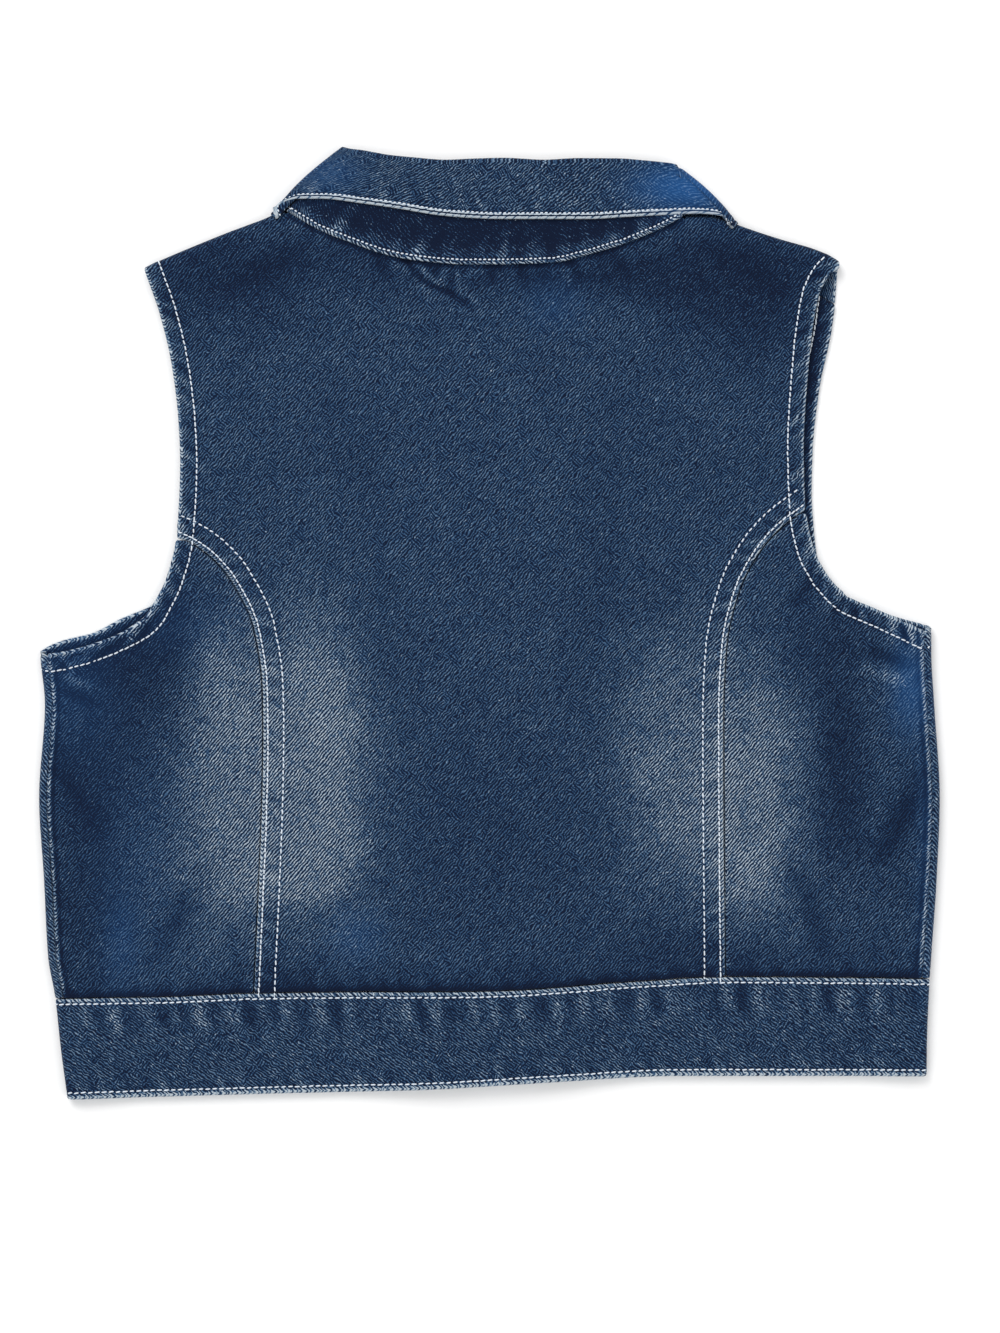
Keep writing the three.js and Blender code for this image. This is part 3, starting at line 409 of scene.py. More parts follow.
# Darker places, in the same columns. The two small ones at the neck seam, by x -38 and -31, are painted
# shadow where the seam gapes.
DARK_AND_SHADED_ZONES = (
    (-172, -40, 22, 44, 0.8), (-172, -16, 24, 13, 1.3), (-150, -156, 46, 18, -0.35),
    (-60, -150, 60, 16, -0.2), (146, -148, 46, 20, -0.4), (-150, 2, 26, 20, 1),
    (-120, 158, 40, 26, 0.95), (-70, 164, 30, 12, 0.5), (112, 158, 38, 22, 1.3), (0, -100, 34, 50, 0.3),
    (-141, -34, 13, 24, 0.6), (157, -66, 11, 44, 1.2), (-38, 163.4, 3.2, 1.7, 2.4),
    (-31.3, 162.3, 1.6, 1.5, 2), (-174, -138, 24, 22, 0.4), (134, -146, 44, 16, 0.4),
    (-96, -160, 24, 13, 0.6), (84, -144, 26, 12, 0.45), (190, -118, 12, 26, 0.2),
    (118, 134, 24, 24, 0.6), (48, 158, 40, 9, 0.8), (86, 152, 22, 16, 0.4), (80, 10, 14, 12, 0.3),
    (-184, -110, 20, 60, 0.6), (176, -90, 14, 60, 0.2), (-2, 154, 66, 9, 0.45),
    (150, -10, 24, 20, 0.55),
)
# Bluer places, in the same columns
BLUES = (
    (90, 196, 24, 10, 1), (188, -26, 8, 26, 0.26), (197, -110, 6, 60, 0.18), (-186, -24, 20, 36, 0.16),
    (190, -30, 10, 16, 0.25), (-166, -142, 8, 20, 0.17), (-60, -140, 12, 12, 0.2),
    (29, 143, 14, 12, 0.16), (-140, 0, 26, 16, 0.1), (-160, -110, 22, 50, 0.08),
    (-74, 202, 16, 9, 0.35),
)


def crease(x, y, rows):
    """The height of a table of creases at each point."""
    total = np.zeros(np.shape(x))
    for x0, y0, x1, y1, width, height in rows:
        way = np.array((x1 - x0, y1 - y0))
        t = np.clip(((x - x0) * way[0] + (y - y0) * way[1]) / (way @ way), 0, 1)
        swell = 0.45 + 0.55 * np.sin(t * math.pi * 0.8 + 0.3)
        total = total + height * bell(np.hypot(x - x0 - t * way[0], y - y0 - t * way[1]), width) * swell
    return total


def zones(x, y, rows):
    """The strength of a table of soft zones at each point."""
    total = np.zeros(np.shape(x))
    power = 2.2  # between an oval and a rounded box
    for cx, cy, wide, high, strength in rows:
        far = np.abs((x - cx) / wide) ** power + np.abs((y - cy) / high) ** power
        total = total + strength * np.exp(-far)
    return total


def wobble(length, pitch, seed):
    """An uneven wave along a seam, from -1 to 1, about pitch long."""
    waves = ((1.0, 1.0, 0.3), (0.72, 0.75, 1.9), (1.37, 0.5, 4.1), (0.31, 0.4, 2.2))
    total = sum(a * np.sin(2 * math.pi * length / (pitch / f) + p + seed * 2.39) for f, a, p in waves)
    return total / 2.0


def rolling(x, y, seed):
    """The slow unevenness of cloth that lies on cloth, from -1 to 1."""
    total = 0.0
    waves = ((71, 23, 0.3, 1.0), (-38, 64, 1.7, 0.9), (29, 41, 3.9, 0.5), (19, -33, 5.2, 0.35),
             (47, -15, 2.6, 0.5))
    for wide, high, phase, size in waves:
        total = total + size * np.sin(x / wide + y / high + phase + seed)
    return total / 2.2


def back_details(x, y, centre_panel):
    """What the seams and creases do to the back's upper face: heights, and what the finish reads, with
    painted shade along the seams and in the crease troughs.
    """
    x, y = np.asarray(x, float), np.asarray(y, float)
    (lap, lap_at), (hole, hole_at) = (
        [np.where(x < 0, *pair) for pair in zip(paths[-1].near(x, y), paths[1].near(x, y), strict=True)]
        for paths in (SEAM_PATHS, ARMHOLE_PATHS))
    neck, neck_at = NECK_PATH.near(x, y)
    waist = y - waist_line(x)
    height = crease(x, y, BACK_CREASES) + 0.35 * rolling(x, y, 0.0) * ease(6, 40, waist)
    ripple = np.zeros(x.shape)
    # the armhole hems
    hem = ease(HEM_WIDTH + 0.9, HEM_WIDTH - 0.9, hole)
    rope = wobble(hole_at + 0.9 * hole, 8.5, 1.0)
    height += SEAM_EXTRA * hem - GROOVE * bell(hole - ARMHOLE_ROW, GROOVE_WIDTH)
    height += 0.16 * rope * bell(hole - 4.0, 3.6)
    ripple += rope * bell(hole - 4.5, 4.2)
    rows = np.abs(hole - ARMHOLE_ROW)
    if centre_panel:
        band = ease(LAP_WIDTH + 0.8, LAP_WIDTH - 0.6, lap)
        rope = wobble(lap_at + 0.5 * lap, 7.5, 2.0)
        height += np.maximum(0, SEAM_EXTRA * (band - hem))
        for row in LAP_ROWS:
            height -= GROOVE * bell(lap - row, GROOVE_WIDTH)
            rows = np.minimum(rows, np.abs(lap - row))
        height += 0.13 * rope * bell(lap - 5.0, 4.0)
        ripple += 0.8 * rope * bell(lap - 4.6, 4.4)
        edge = lap
    else:
        height -= 0.32 * bell(lap, 1.5)
        edge = lap + 1.6
        side = from_sides(x, y) - SEAM_INSET
        on_seam = ease(8, -8, y)
        rope = wobble(y + 0.5 * side, 10.0, 3.0)
        height += (0.28 * bell(side - 1.6, 1.2) + 0.14 * rope * bell(side - 2, 3.0)) * on_seam
        # a light worn line on the side seam's ridge, and a painted shade valley beside it
        ripple += on_seam * (
            2.2 * bell(side - 0.8, 0.55) - 1.2 * bell(side - 2.6, 0.8) + 0.5 * rope * bell(side - 3, 3.0))
    edge = np.minimum(edge, hole)
    # the waist seam and the neck seam
    rope = wobble(x + 0.4 * waist, 11.0, 5.0)
    height += 0.2 * rope * bell(waist, 5.5) - 0.25 * bell(waist, 1.0)
    # painted shadow just above the waistband's top edge, and the cloth darker towards the waist seam
    ripple += 0.6 * rope * bell(waist, 6.0) - 1.6 * bell(waist - 1.0, 0.9)
    ripple -= 0.7 * bell(waist - 2.2, 2.2) + 0.34 * bell(waist - 6.0, 9.0)
    shoulder = (x > NECK_END[-1]) & (x < NECK_END[1])
    near_neck = np.where(shoulder, neck, FAR)
    rope = wobble(neck_at - 0.5 * neck, 12.0, 7.0)
    height += 0.24 * rope * bell(near_neck, 5.5) - 0.2 * bell(near_neck, 1.1)
    # painted shadow just below where the collar stand laps over the neckline
    ripple += 0.5 * rope * bell(near_neck, 6.0) - 1.4 * bell(near_neck - 2.0, 0.8)
    # the creases' troughs are painted darker as shade, and their ridges lighter
    ripple += np.clip(crease(x, y, BACK_CREASES) * 1.5, -1.9, 1.3)
    return {"height": height, "edge": edge, "row": rows, "ripple": ripple, "hem": hem}


# Meshes

def plan_grid(left, right, bottom, top, top_x, ys, insets, middle):
    """The plan of a panel, as the solids' own: rows by columns of (x, y)."""
    first, last = insets[0][-1], insets[1][-1]
    narrow = 1.6  # on a panel narrower than this many times both insets, they shrink
    seen_at = -164.0  # the y, near the waist, where the bottom is looked up

    def x_at(y):
        start, end = left(y), right(y)
        room = np.minimum(1, (end - start) / (narrow * (first + last)))
        parts = [start + inset * room for inset in insets[0]]
        parts += [lerp(start + first * room, end - last * room, share) for share in middle]
        parts += [end - inset * room for inset in insets[1][::-1]]
        return parts

    count = len(insets[0]) + len(middle) + len(insets[1])
    lows = np.array([part[0] for part in x_at(np.full(1, seen_at))])
    tops = np.array(
        [top_x[0] + inset for inset in insets[0]]
        + [lerp(top_x[0] + first, top_x[1] - last, share) for share in middle]
        + [top_x[1] - inset for inset in insets[1][::-1]]
    )
    low, high = bottom(lows), top(tops)
    shares = [(side - side[0]) / (side[-1] - side[0]) for side in map(np.asarray, ys)]
    across = np.arange(count) / (count - 1)
    up = lerp(shares[0][:, None], shares[1][:, None], across[None, :])
    y = lerp(low[None, :], high[None, :], up)
    x = np.empty_like(y)
    for column in range(count):
        x[:, column] = x_at(y[:, column])[column]
    return x, y


def spread(first, last, step):
    """Even shares from 0 to 1, without the ends, about step apart on a length."""
    count = max(2, round(abs(last - first) / step))
    return list(np.linspace(0, 1, count + 1)[1:-1])


FINE_EDGE = (0.0, 0.35, 0.8, 1.4, 2.0, 2.6, 3.3, 4.2, 5.2, 6.2, 7.0, 7.6, 8.2, 8.8, 9.4, 10.2, 11.2, 12.6)
STEP = 2.1
RIM_LENGTH = 2.2  # how far the twill runs on over a rim
FACES = {}  # the two faces of each cloth, for the stitches
ROWS = {}  # where rows of stitches run on them


def piece_of(mesh):
    piece = bpy.data.objects.new(mesh.name, mesh)
    bpy.context.collection.objects.link(piece)
    return piece


def wall(name, middle, above, below, cloth, fields, skip=None, shown=1):
    """A closed shell of cloth round a grid of points, with rounded rims.

    middle is rows x columns x 3; above and below are its half thicknesses along and against the
    grid's normal; cloth is where each point lies in the flat cut; fields are numbers for the finish.
    shown is 1 where the cloth's right side is along the grid's normal, -1 where it is against it,
    and 0 where both sides are right sides."""
    rows, columns = middle.shape[:2]
    normal = unit(np.cross(np.gradient(middle, axis=1), np.gradient(middle, axis=0)))
    outer = middle + normal * above[..., None]
    inner = middle - normal * below[..., None]
    FACES[name] = {1: (outer, normal), -1: (inner, -normal)}
    has = np.ones((rows - 1, columns - 1), bool) if skip is None else ~skip
    number = np.full((rows, columns), -1)
    used = np.zeros((rows, columns), bool)
    for dr, dc in ((0, 0), (0, 1), (1, 0), (1, 1)):
        used[dr:rows - 1 + dr, dc:columns - 1 + dc] |= has
    number[used] = np.arange(used.sum())
    total = int(used.sum())
    r, c = np.nonzero(has)
    corners = np.stack([number[r, c], number[r, c + 1], number[r + 1, c + 1], number[r + 1, c]], axis=1)
    faces = [corners, corners[:, ::-1] + total]
    points = [outer[used], inner[used]]
    index = [np.nonzero(used.ravel())[0]] * 2
    inside = [np.full(total, float(shown < 0)), np.full(total, float(shown > 0))]
    rim_turn = [np.zeros(total), np.full(total, RIM_LENGTH)]

    # the boundary, as directed edges with the cloth on their left
    def missing(dr, dc):
        padded = np.zeros((rows + 1, columns + 1), bool)
        padded[1:-1, 1:-1] = has
        return has & ~padded[1 + dr:rows + dr, 1 + dc:columns + dc]

    starts, ends = [], []
    for (dr, dc), a, b in (((-1, 0), (0, 0), (0, 1)), ((0, 1), (0, 1), (1, 1)),
                           ((1, 0), (1, 1), (1, 0)), ((0, -1), (1, 0), (0, 0))):
        br, bc = np.nonzero(missing(dr, dc))
        starts.append((br + a[0]) * columns + bc + a[1])
        ends.append((br + b[0]) * columns + bc + b[1])
    starts, ends = np.concatenate(starts), np.concatenate(ends)
    flat_middle, flat_normal = middle.reshape(-1, 3), normal.reshape(-1, 3)
    way = flat_middle[ends] - flat_middle[starts]
    out = np.cross(way, (flat_normal[starts] + flat_normal[ends]) / 2)
    outward = np.zeros_like(flat_middle)
    np.add.at(outward, starts, out)
    np.add.at(outward, ends, out)
    rim = np.unique(np.concatenate([starts, ends]))
    outward = unit(outward[rim])
    order = np.full(rows * columns, -1)
    order[rim] = np.arange(len(rim))
    upper, lower = outer.reshape(-1, 3)[rim], inner.reshape(-1, 3)[rim]
    centre, half = (upper + lower) / 2, np.linalg.norm(upper - lower, axis=1)[:, None] / 2
    rings = [number.ravel()[rim]]
    base = 2 * total
    for angle in (0.25, 0.5, 0.75):
        turn = angle * math.pi
        points.append(centre + half * (math.cos(turn) * flat_normal[rim] + math.sin(turn) * outward))
        index.append(rim)
        inside.append(np.zeros(len(rim)))
        rim_turn.append(np.full(len(rim), angle * RIM_LENGTH))
        rings.append(base + np.arange(len(rim)))
        base += len(rim)
    rings.append(number.ravel()[rim] + total)
    for first, second in zip(rings[:-1], rings[1:], strict=True):
        s, e = order[starts], order[ends]
        faces.append(np.stack([second[s], second[e], first[e], first[s]], axis=1))
    points, faces = np.concatenate(points), np.concatenate(faces)
    index, inside, rim_turn = np.concatenate(index), np.concatenate(inside), np.concatenate(rim_turn)
    mesh = bpy.data.meshes.new(name)
    mesh.vertices.add(len(points))
    mesh.vertices.foreach_set("co", ((points + SHIFT) * MM).ravel())
    mesh.loops.add(faces.size)
    mesh.loops.foreach_set("vertex_index", faces.ravel())
    mesh.polygons.add(len(faces))
    mesh.polygons.foreach_set("loop_start", np.arange(0, faces.size, 4))
    mesh.polygons.foreach_set("use_smooth", np.ones(len(faces), bool))
    mesh.update(calc_edges=True)
    mesh.validate()
    place = mesh.attributes.new("cloth", "FLOAT_VECTOR", "POINT")
    place.data.foreach_set("vector", np.column_stack([cloth.reshape(-1, 2)[index], rim_turn]).ravel())
    for key, values in {**fields, "inside": None}.items():
        values = inside if values is None else np.asarray(values, float).ravel()[index]
        mesh.attributes.new(key, "FLOAT", "POINT").data.foreach_set("value", values.astype(np.float32))
    return piece_of(mesh)


def finish_fields(x, y, **given):
    """The fields that a finish reads, where they aren't given."""
    blank = np.zeros(np.shape(x))
    fields = {"edge": blank + FAR, "row": blank + FAR, "ripple": blank, "hollow": blank,
              "fade": zones(x, y, FADES), "deep": zones(x, y, DARK_AND_SHADED_ZONES), "blue": zones(x, y, BLUES)}
    fields.update(given)
    return fields


# Finishes

class Field:
    """A number that varies over a surface, used in plain expressions."""

    def __init__(self, graph, socket):
        self.graph, self.socket = graph, socket

    def math(self, operation, other=None, swap=False):
        pair = (other, self) if swap else (self, other)
        sockets = {i: v for i, v in enumerate(pair) if v is not None}
        return self.graph.make("ShaderNodeMath", {"operation": operation}, sockets)

    def __add__(self, other):
        return self.math("ADD", other)

    def __sub__(self, other):
        return self.math("SUBTRACT", other)

    def __mul__(self, other):
        return self.math("MULTIPLY", other)

    def __truediv__(self, other):
        return self.math("DIVIDE", other)

    def __rsub__(self, other):
        return self.math("SUBTRACT", other, swap=True)

    __radd__ = __add__
    __rmul__ = __mul__


class Graph:
    """The nodes of one material."""

    def __init__(self, name):
        self.material = bpy.data.materials.new(name)
        self.material.use_nodes = True
        self.tree = self.material.node_tree
        self.tree.nodes.clear()

    def make(self, kind, settings=None, sockets=None, output=0):
        node = self.tree.nodes.new(kind)
        for key, value in (settings or {}).items():
            if key == "stops":
                while len(node.color_ramp.elements) < len(value):
                    node.color_ramp.elements.new(0.5)
                for element, (at, color) in zip(node.color_ramp.elements, value, strict=True):
                    element.position, element.color = at, (*color, 1)
            else:
                setattr(node, key, value)
        for key, value in (sockets or {}).items():
            if isinstance(value, Field):
                self.tree.links.new(value.socket, node.inputs[key])
            else:
                node.inputs[key].default_value = value
        return Field(self, node.outputs[output]) if node.outputs else None

    def named(self, name, output="Fac"):
        return self.make("ShaderNodeAttribute", {"attribute_name": name}, output=output)

    def ease(self, start, full, value):
        """0 at start and 1 at full."""
        low, high, ends = (start, full, (0, 1)) if start < full else (full, start, (1, 0))
        sockets = {"Value": value, "From Min": low, "From Max": high, "To Min": ends[0], "To Max": ends[1]}
        return self.make("ShaderNodeMapRange", {"interpolation_type": "SMOOTHSTEP"}, sockets)

    def vector(self, x=0.0, y=0.0, z=0.0):
        return self.make("ShaderNodeCombineXYZ", None, {"X": x, "Y": y, "Z": z})

    def along(self, vector, way):
        """The length of a vector along a direction."""
        sockets = {0: vector, 1: way}
        return self.make("ShaderNodeVectorMath", {"operation": "DOT_PRODUCT"}, sockets, "Value")

    def noise(self, vector, scale, detail=2.0, roughness=0.5, dimensions="3D"):
        """Cloudy noise round 0, mostly from -0.5 to 0.5."""
        sockets = {"Vector": vector, "Scale": scale, "Detail": detail, "Roughness": roughness}
        made = self.make("ShaderNodeTexNoise", {"noise_dimensions": dimensions}, sockets, "Fac")
        return made - 0.5

    def mix(self, factor, first, second):
        """A colour between two, each a Field or a plain colour."""
        colors = [value if isinstance(value, Field) else (*value, 1) for value in (first, second)]
        return self.make("ShaderNodeMix", {"data_type": "RGBA"}, {0: factor, 6: colors[0], 7: colors[1]}, 2)

    def bump(self, height, distance, strength=1.0):
        sockets = {"Height": height, "Distance": distance, "Strength": strength}
        return self.make("ShaderNodeBump", None, sockets, "Normal")

    def surface(self, **sockets):
        """The material with a Principled surface; names are the sockets' with underscores."""
        named = {key.replace("_", " "): value for key, value in sockets.items()}
        made = self.make("ShaderNodeBsdfPrincipled", None, named)
        self.make("ShaderNodeOutputMaterial", None, {"Surface": made})
        return self.material


# Each denim's twill angle in the flat cut, tone and wear
DENIMS = {
    "washed_denim": (49.0, 0.156, (1.6, 1.5, 0.17, 1.08)),
    "waistband_denim": (-38.0, 0.128, (2.8, 2.2, 0.18, 1.3)),
    "collar_denim": (-38.0, 0.134, (1.9, 4.6, 0.19, 1.35)),
}


def denim(name, twill_degrees, tone, wear, settings):
    """Washed denim. The twill's lines run at twill_degrees in the flat cut.

    wear is how wide and how strong the edges are rubbed, how light the puckers are, and how
    strongly the weave shows."""
    rub_from, rub_strength, pucker, weave = wear
    g = Graph(name)
    place = g.named("cloth", "Vector")
    edge, row, ripple, inside, hollow = (
        g.named(key) for key in ("edge", "row", "ripple", "inside", "hollow"))
    fade, deep, blue = (g.named(key) for key in ("fade", "deep", "blue"))
    turn = math.radians(twill_degrees)
    along = g.along(place, (math.cos(turn), math.sin(turn), -0.7))
    across = g.along(place, (math.sin(turn), -math.cos(turn), 0.7))
    pitch = settings.twill_pitch / MM
    wander = g.noise(place, 0.09, 2.0) * 1.4 + g.noise(place, 0.42, 1.0) * (1.6 - fade * 1.2)
    lines = ((across / pitch + wander) * (2 * math.pi)).math("SINE")
    other_lines = ((along / pitch + wander) * (2 * math.pi)).math("SINE")
    turned = g.ease(0.03, 0.14, g.noise(place, 0.17, 2.0)) * (1 - fade) * 0.75
    twill = lines + (other_lines - lines) * turned
    streak = g.noise(g.vector(along * 0.5, across * 1.9), 1.0, 2.0, 0.6, "2D")
    grain = g.noise(place, 1.5, 1.0, 0.6)
    clumps = g.noise(place, 0.33, 3.0, 0.6)
    patches = g.noise(place, 0.055, 3.0, 0.6)
    clouds = g.noise(place, 0.016, 2.0)
    specks = g.ease(0.15, 0.25, g.noise(place, 1.15, 1.0))
    # how worn the place is, with painted shade taken off where the fields ask for it: from 0, raw indigo,
    # to 1, bare thread
    strands = (across * (2 * math.pi / 2.3)).math("SINE")
    rubbed = 0.75 + g.noise(place, 0.7, 2.0) * 0.6 + strands * 0.32 + fade * 0.5
    rub = g.ease(rub_from, 0.5, edge) * rubbed * rub_strength
    frayed = g.ease(5.5, 0.8, edge) * (lines.math("MAXIMUM", 0.0) * 0.8 + strands * 0.15) * 0.24
    shade = g.ease(1.9, 0.4, row) * 0.07
    faded = g.ease(-0.1, 1.05, fade + patches * 0.28)
    washed = faded * (0.29 + patches * 0.1 + clumps * 0.08)
    # pucker tops are lighter, as wear, and their troughs darker, as painted shade
    puckers = ripple.math("MAXIMUM", 0.0) * pucker + ripple.math("MINIMUM", 0.0) * 0.15
    # darker places lower the level and strengthen the weave; painted shade is among them
    level = tone + washed + patches * 0.06 + clouds * 0.05 - deep * 0.163 - shade + puckers
    depth = (0.265 + level.math("MAXIMUM", 0.0) * 0.84 + deep.math("MINIMUM", 3.0) * 0.12) * weave
    woven = twill * (0.8 + fade * 0.15) + streak * 1.6 + grain * 1.7 + clumps * 0.5 + specks * 0.75
    # the cloth's inside face is a little lighter, but darker where painted shadow falls in the gap by the
    # back's armholes
    wear_and_shade = level + woven * depth + rub * 0.42 + frayed + inside * (0.05 - hollow * 0.42)
    color = g.make("ShaderNodeValToRGB", {"stops": (
        (0.0, (0.0006, 0.0052, 0.0225)),
        (0.125, (0.0022, 0.0140, 0.0460)),
        (0.25, (0.0067, 0.0292, 0.0805)),
        (0.50, (0.0435, 0.0980, 0.1820)),
        (0.75, (0.1680, 0.2400, 0.3220)),
        (1.0, (0.4400, 0.5000, 0.5500)),
    )}, {"Fac": wear_and_shade})
    color = g.mix(blue * 0.55, color, (0.016, 0.105, 0.330))
    height = twill * 0.45 + streak * 0.9 + grain * 0.5
    return g.surface(
        Base_Color=color, Roughness=0.88, Normal=g.bump(height, 0.00022, 0.6),
        Sheen_Weight=0.08, Sheen_Roughness=0.45, Specular_IOR_Level=0.15,
    )


def thread(settings):
    """The cotton sewing thread, two strands twisted."""
    g = Graph("cotton_thread")
    place = g.make("ShaderNodeTexCoord", output="Object")
    speck = g.noise(place, 900.0, 2.0)
    color = g.mix((speck + 0.5) * 0.6, tuple(settings.thread_color), (0.40, 0.46, 0.53))
    return g.surface(Base_Color=color, Roughness=0.7, Normal=g.bump(speck, 0.0001, 0.5), Sheen_Weight=0.1)


def dull_metal():
    """Plain dull brass, a little brushed, with darker patches."""
    g = Graph("dull_metal")
    place = g.make("ShaderNodeTexCoord", output="Object")
    patina = g.noise(place, 260.0, 4.0, 0.6)
    fine = g.noise(place, 1600.0, 2.0)
    color = g.mix(g.ease(-0.1, 0.2, patina), (0.42, 0.32, 0.18), (0.20, 0.155, 0.095))
    return g.surface(Base_Color=color, Metallic=0.95, Roughness=0.42 + patina * 0.3,
                     Normal=g.bump(fine, 0.00004, 0.4))


def dress(piece, material, slot, *nodes):
    """Give a piece its finish, its body and the solids it stands for."""
    piece.data.materials.clear()
    piece.data.materials.append(material)
    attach(piece, "root")
    if nodes:
        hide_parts(*nodes)
    return piece


def finish_of(name, settings):
    """A finish, made once and kept."""
    kept = bpy.data.materials.get(name)
    if kept:
        return kept
    if name in DENIMS:
        return denim(name, *DENIMS[name], settings)
    return thread(settings) if name == "cotton_thread" else dull_metal()


# The back

def back_panel_wall(name, x, y, centre_panel, extra=None, skip=None):
    """A panel of the back; extra is the places and the flat cut of what runs on past its top."""
    details = back_details(x, y, centre_panel)
    middle = np.dstack([x, y, back_height(x, y)])
    above = HALF + details["height"]
    below = HALF + 0.15 * details["hem"]
    fields = finish_fields(x, y, edge=details["edge"], row=details["row"], ripple=details["ripple"])
    cloth = np.dstack([x, y])
    if extra is not None:
        under, under_cloth = extra
        rows = under.shape[0]

        def run_on(values):
            return np.concatenate([values, np.repeat(values[-1:], rows, 0)])

        middle = np.concatenate([middle, under])
        cloth = np.concatenate([cloth, under_cloth])
        fade_out = np.linspace(1, 0, rows + 1)[1:, None]
        above = np.concatenate([above, HALF + (above[-1] - HALF)[None, :] * fade_out**3])
        below = run_on(below)
        fields = {key: run_on(value) for key, value in fields.items()}
    return wall(name, middle, above, below, cloth, fields, skip)


def back_centre():
    rim = HALF + SEAM_EXTRA / 2

    def edge_in(side):
        def at(y):
            y = np.asarray(y, float)
            on_seam = seam[side](y) - side * (GAP / 2 + rim) * np.hypot(1, slope(seam[side], y))
            on_hole = armhole[side](y) - side * rim * np.hypot(1, slope(armhole[side], y))
            return np.where(y < TIP[side], on_seam, on_hole)
        return at

    left, right = edge_in(-1), edge_in(1)
    first, last = BACK_TOP[0][0] + rim, BACK_TOP[-1][0] - rim
    inset = FINE_EDGE[-1]

    def share(x):
        return (x - first - inset) / (last - first - 2 * inset)

    def top(x):
        on_shoulder = (x < NECK_END[-1] + 0.5) | (x > NECK_END[1] - 0.5)
        return back_top(x) - np.where(on_shoulder, SIDE_ROLL + HALF, HALF)

    necks = (share(NECK_END[-1]), share(NECK_END[1]))
    shoulder_steps, neck_length = np.array(spread(0, 54, STEP)), 178
    across_neck = np.array(spread(0, neck_length, STEP))
    # twice as fine where the puckers under the neck seam are
    across_neck = np.sort(np.concatenate([across_neck, (across_neck + STEP / 2 / neck_length)[20:50]]))
    middle = [
        *(necks[0] * shoulder_steps), necks[0],
        *lerp(necks[0], necks[1], across_neck), necks[1],
        *lerp(necks[1], 1, shoulder_steps),
    ]
    middle = sorted([0.0, *middle, 1.0])[1:-1]
    ys = tuple(
        np.concatenate([even_rows(seam[side], float(foot(side * 106)), TIP[side], 108),
                        even_rows(armhole[side], TIP[side], float(top(end)), 58)[1:]])
        for side, end in ((-1, first), (1, last)))
    last_row = len(ys[0]) - 1
    rows = np.concatenate([np.arange(last_row - 12), np.arange(last_row - 12, last_row + 0.1, 0.5)])
    ys = tuple(np.interp(rows, np.arange(last_row + 1), side) for side in ys)
    x, y = plan_grid(left, right, foot, top, (first, last), ys,
                     (FINE_EDGE, FINE_EDGE), middle)
    # the wrap over each shoulder fold and along the underside
    start = np.dstack([x[-1:], y[-1:], back_height(x[-1:], y[-1:])])[0]
    way = np.where((start[:, 0] < 0)[:, None], WRAP[-1], WRAP[1])
    under, cloth = [], []
    length = SHOULDER_WRAP - SIDE_ROLL - HALF
    for angle in np.linspace(0, math.pi, 13)[1:]:
        floor = front_height(start[:, 0], start[:, 1])
        radius = (start[:, 2] - floor) / 2
        plan = start[:, :2] - way * SIDE_ROLL * math.sin(angle)
        under.append(np.column_stack([plan, start[:, 2] - radius * (1 - math.cos(angle))]))
        cloth.append(start[:, :2] - way * SIDE_ROLL * angle)
    for beyond in np.linspace(0, length - HALF, 9)[1:]:
        plan = start[:, :2] + way * beyond
        under.append(np.column_stack([plan, front_height(plan[:, 0], plan[:, 1])]))
        cloth.append(start[:, :2] - way * (SIDE_ROLL * math.pi + beyond))
    skip = np.zeros((len(y) + len(under) - 1, x.shape[1] - 1), bool)
    between = (x[-1, :-1] + x[-1, 1:]) / 2
    skip[len(y) - 1:] = (between > NECK_END[-1]) & (between < NECK_END[1])
    return back_panel_wall("cloth_back_centre", x, y, True, (np.array(under), np.array(cloth)), skip)


def side_edge(side, hole, rim, steepest, on_side):
    """The outer edge of a panel: the side, x for a y, and above the underarm the armhole's line too."""
    underarm = hole.at[0]

    def at(y):
        y = np.asarray(y, float)
        tilt = np.minimum(np.abs(slope(hole, y, 0.4)), steepest)
        on_hole = hole(y) - side * rim * np.hypot(1, tilt)
        return np.where(y < underarm, on_side(y), side * np.minimum(side * on_side(y), side * on_hole))

    return at


def back_side(side):
    tip = TIP[side] - 2.4
    underarm = ARMHOLES[side][0][0]
    outer = side_edge(side, armhole[side], HALF, 2.5,
                      lambda y: side_line[side](y) - side * (SEAM_INSET + HALF - 0.2))

    def inner(y):
        y = np.asarray(y, float)
        tilt = np.minimum(np.abs(slope(seam[side], y)), 2.5)
        return seam[side](y) + side * (GAP / 2 + HALF) * np.hypot(1, tilt)

    low = float(foot(side * 150))
    outer_rows = np.concatenate([
        even_rows(side_line[side], low, underarm - HALF, 66), even_rows(armhole[side], underarm, tip, 46)])
    inner_rows = even_rows(seam[side], low, tip, len(outer_rows) - 1)
    left, right = (outer, inner)[::-side]
    top_x = tuple(float(edge(tip)) for edge in (left, right))
    x, y = plan_grid(left, right, foot, lambda v: np.full(np.shape(v), tip), top_x,
                     (outer_rows, inner_rows)[::-side], (FINE_EDGE[:-1],) * 2, spread(0, 66, STEP))
    return back_panel_wall(f"cloth_back_side_{SIDE_NAMES[side]}", x, y, False)


# The fronts

def rolled(outline_x, side, radius, thickness, x, y, under, over):
    """Where a point of the flat cut lies once the cloth is rolled round the side."""
    reach = radius + thickness / 2
    past = np.abs(x) - (np.abs(outline_x) - reach)
    angle = np.clip(past / radius, 0, math.pi)
    straight = np.maximum(past - math.pi * radius, 0)
    plan = np.abs(outline_x) - reach + radius * np.sin(angle) - straight
    turned = past > 0
    height = np.where(turned, lerp(under, over, (1 - np.cos(angle)) / 2), under)
    return np.dstack([np.where(turned, side * plan, x), y, height])


def place_front(side, x, y):
    """The middle of a front's cloth for points of its flat cut."""
    outline = side_line[side](y)
    lift = STACK * lapped(x) if side < 0 else 0.0
    over = back_height(outline - side * SEAM_INSET, y)
    return rolled(outline, side, SIDE_ROLL, PLY, x, y, front_height(x, y) + lift, over)


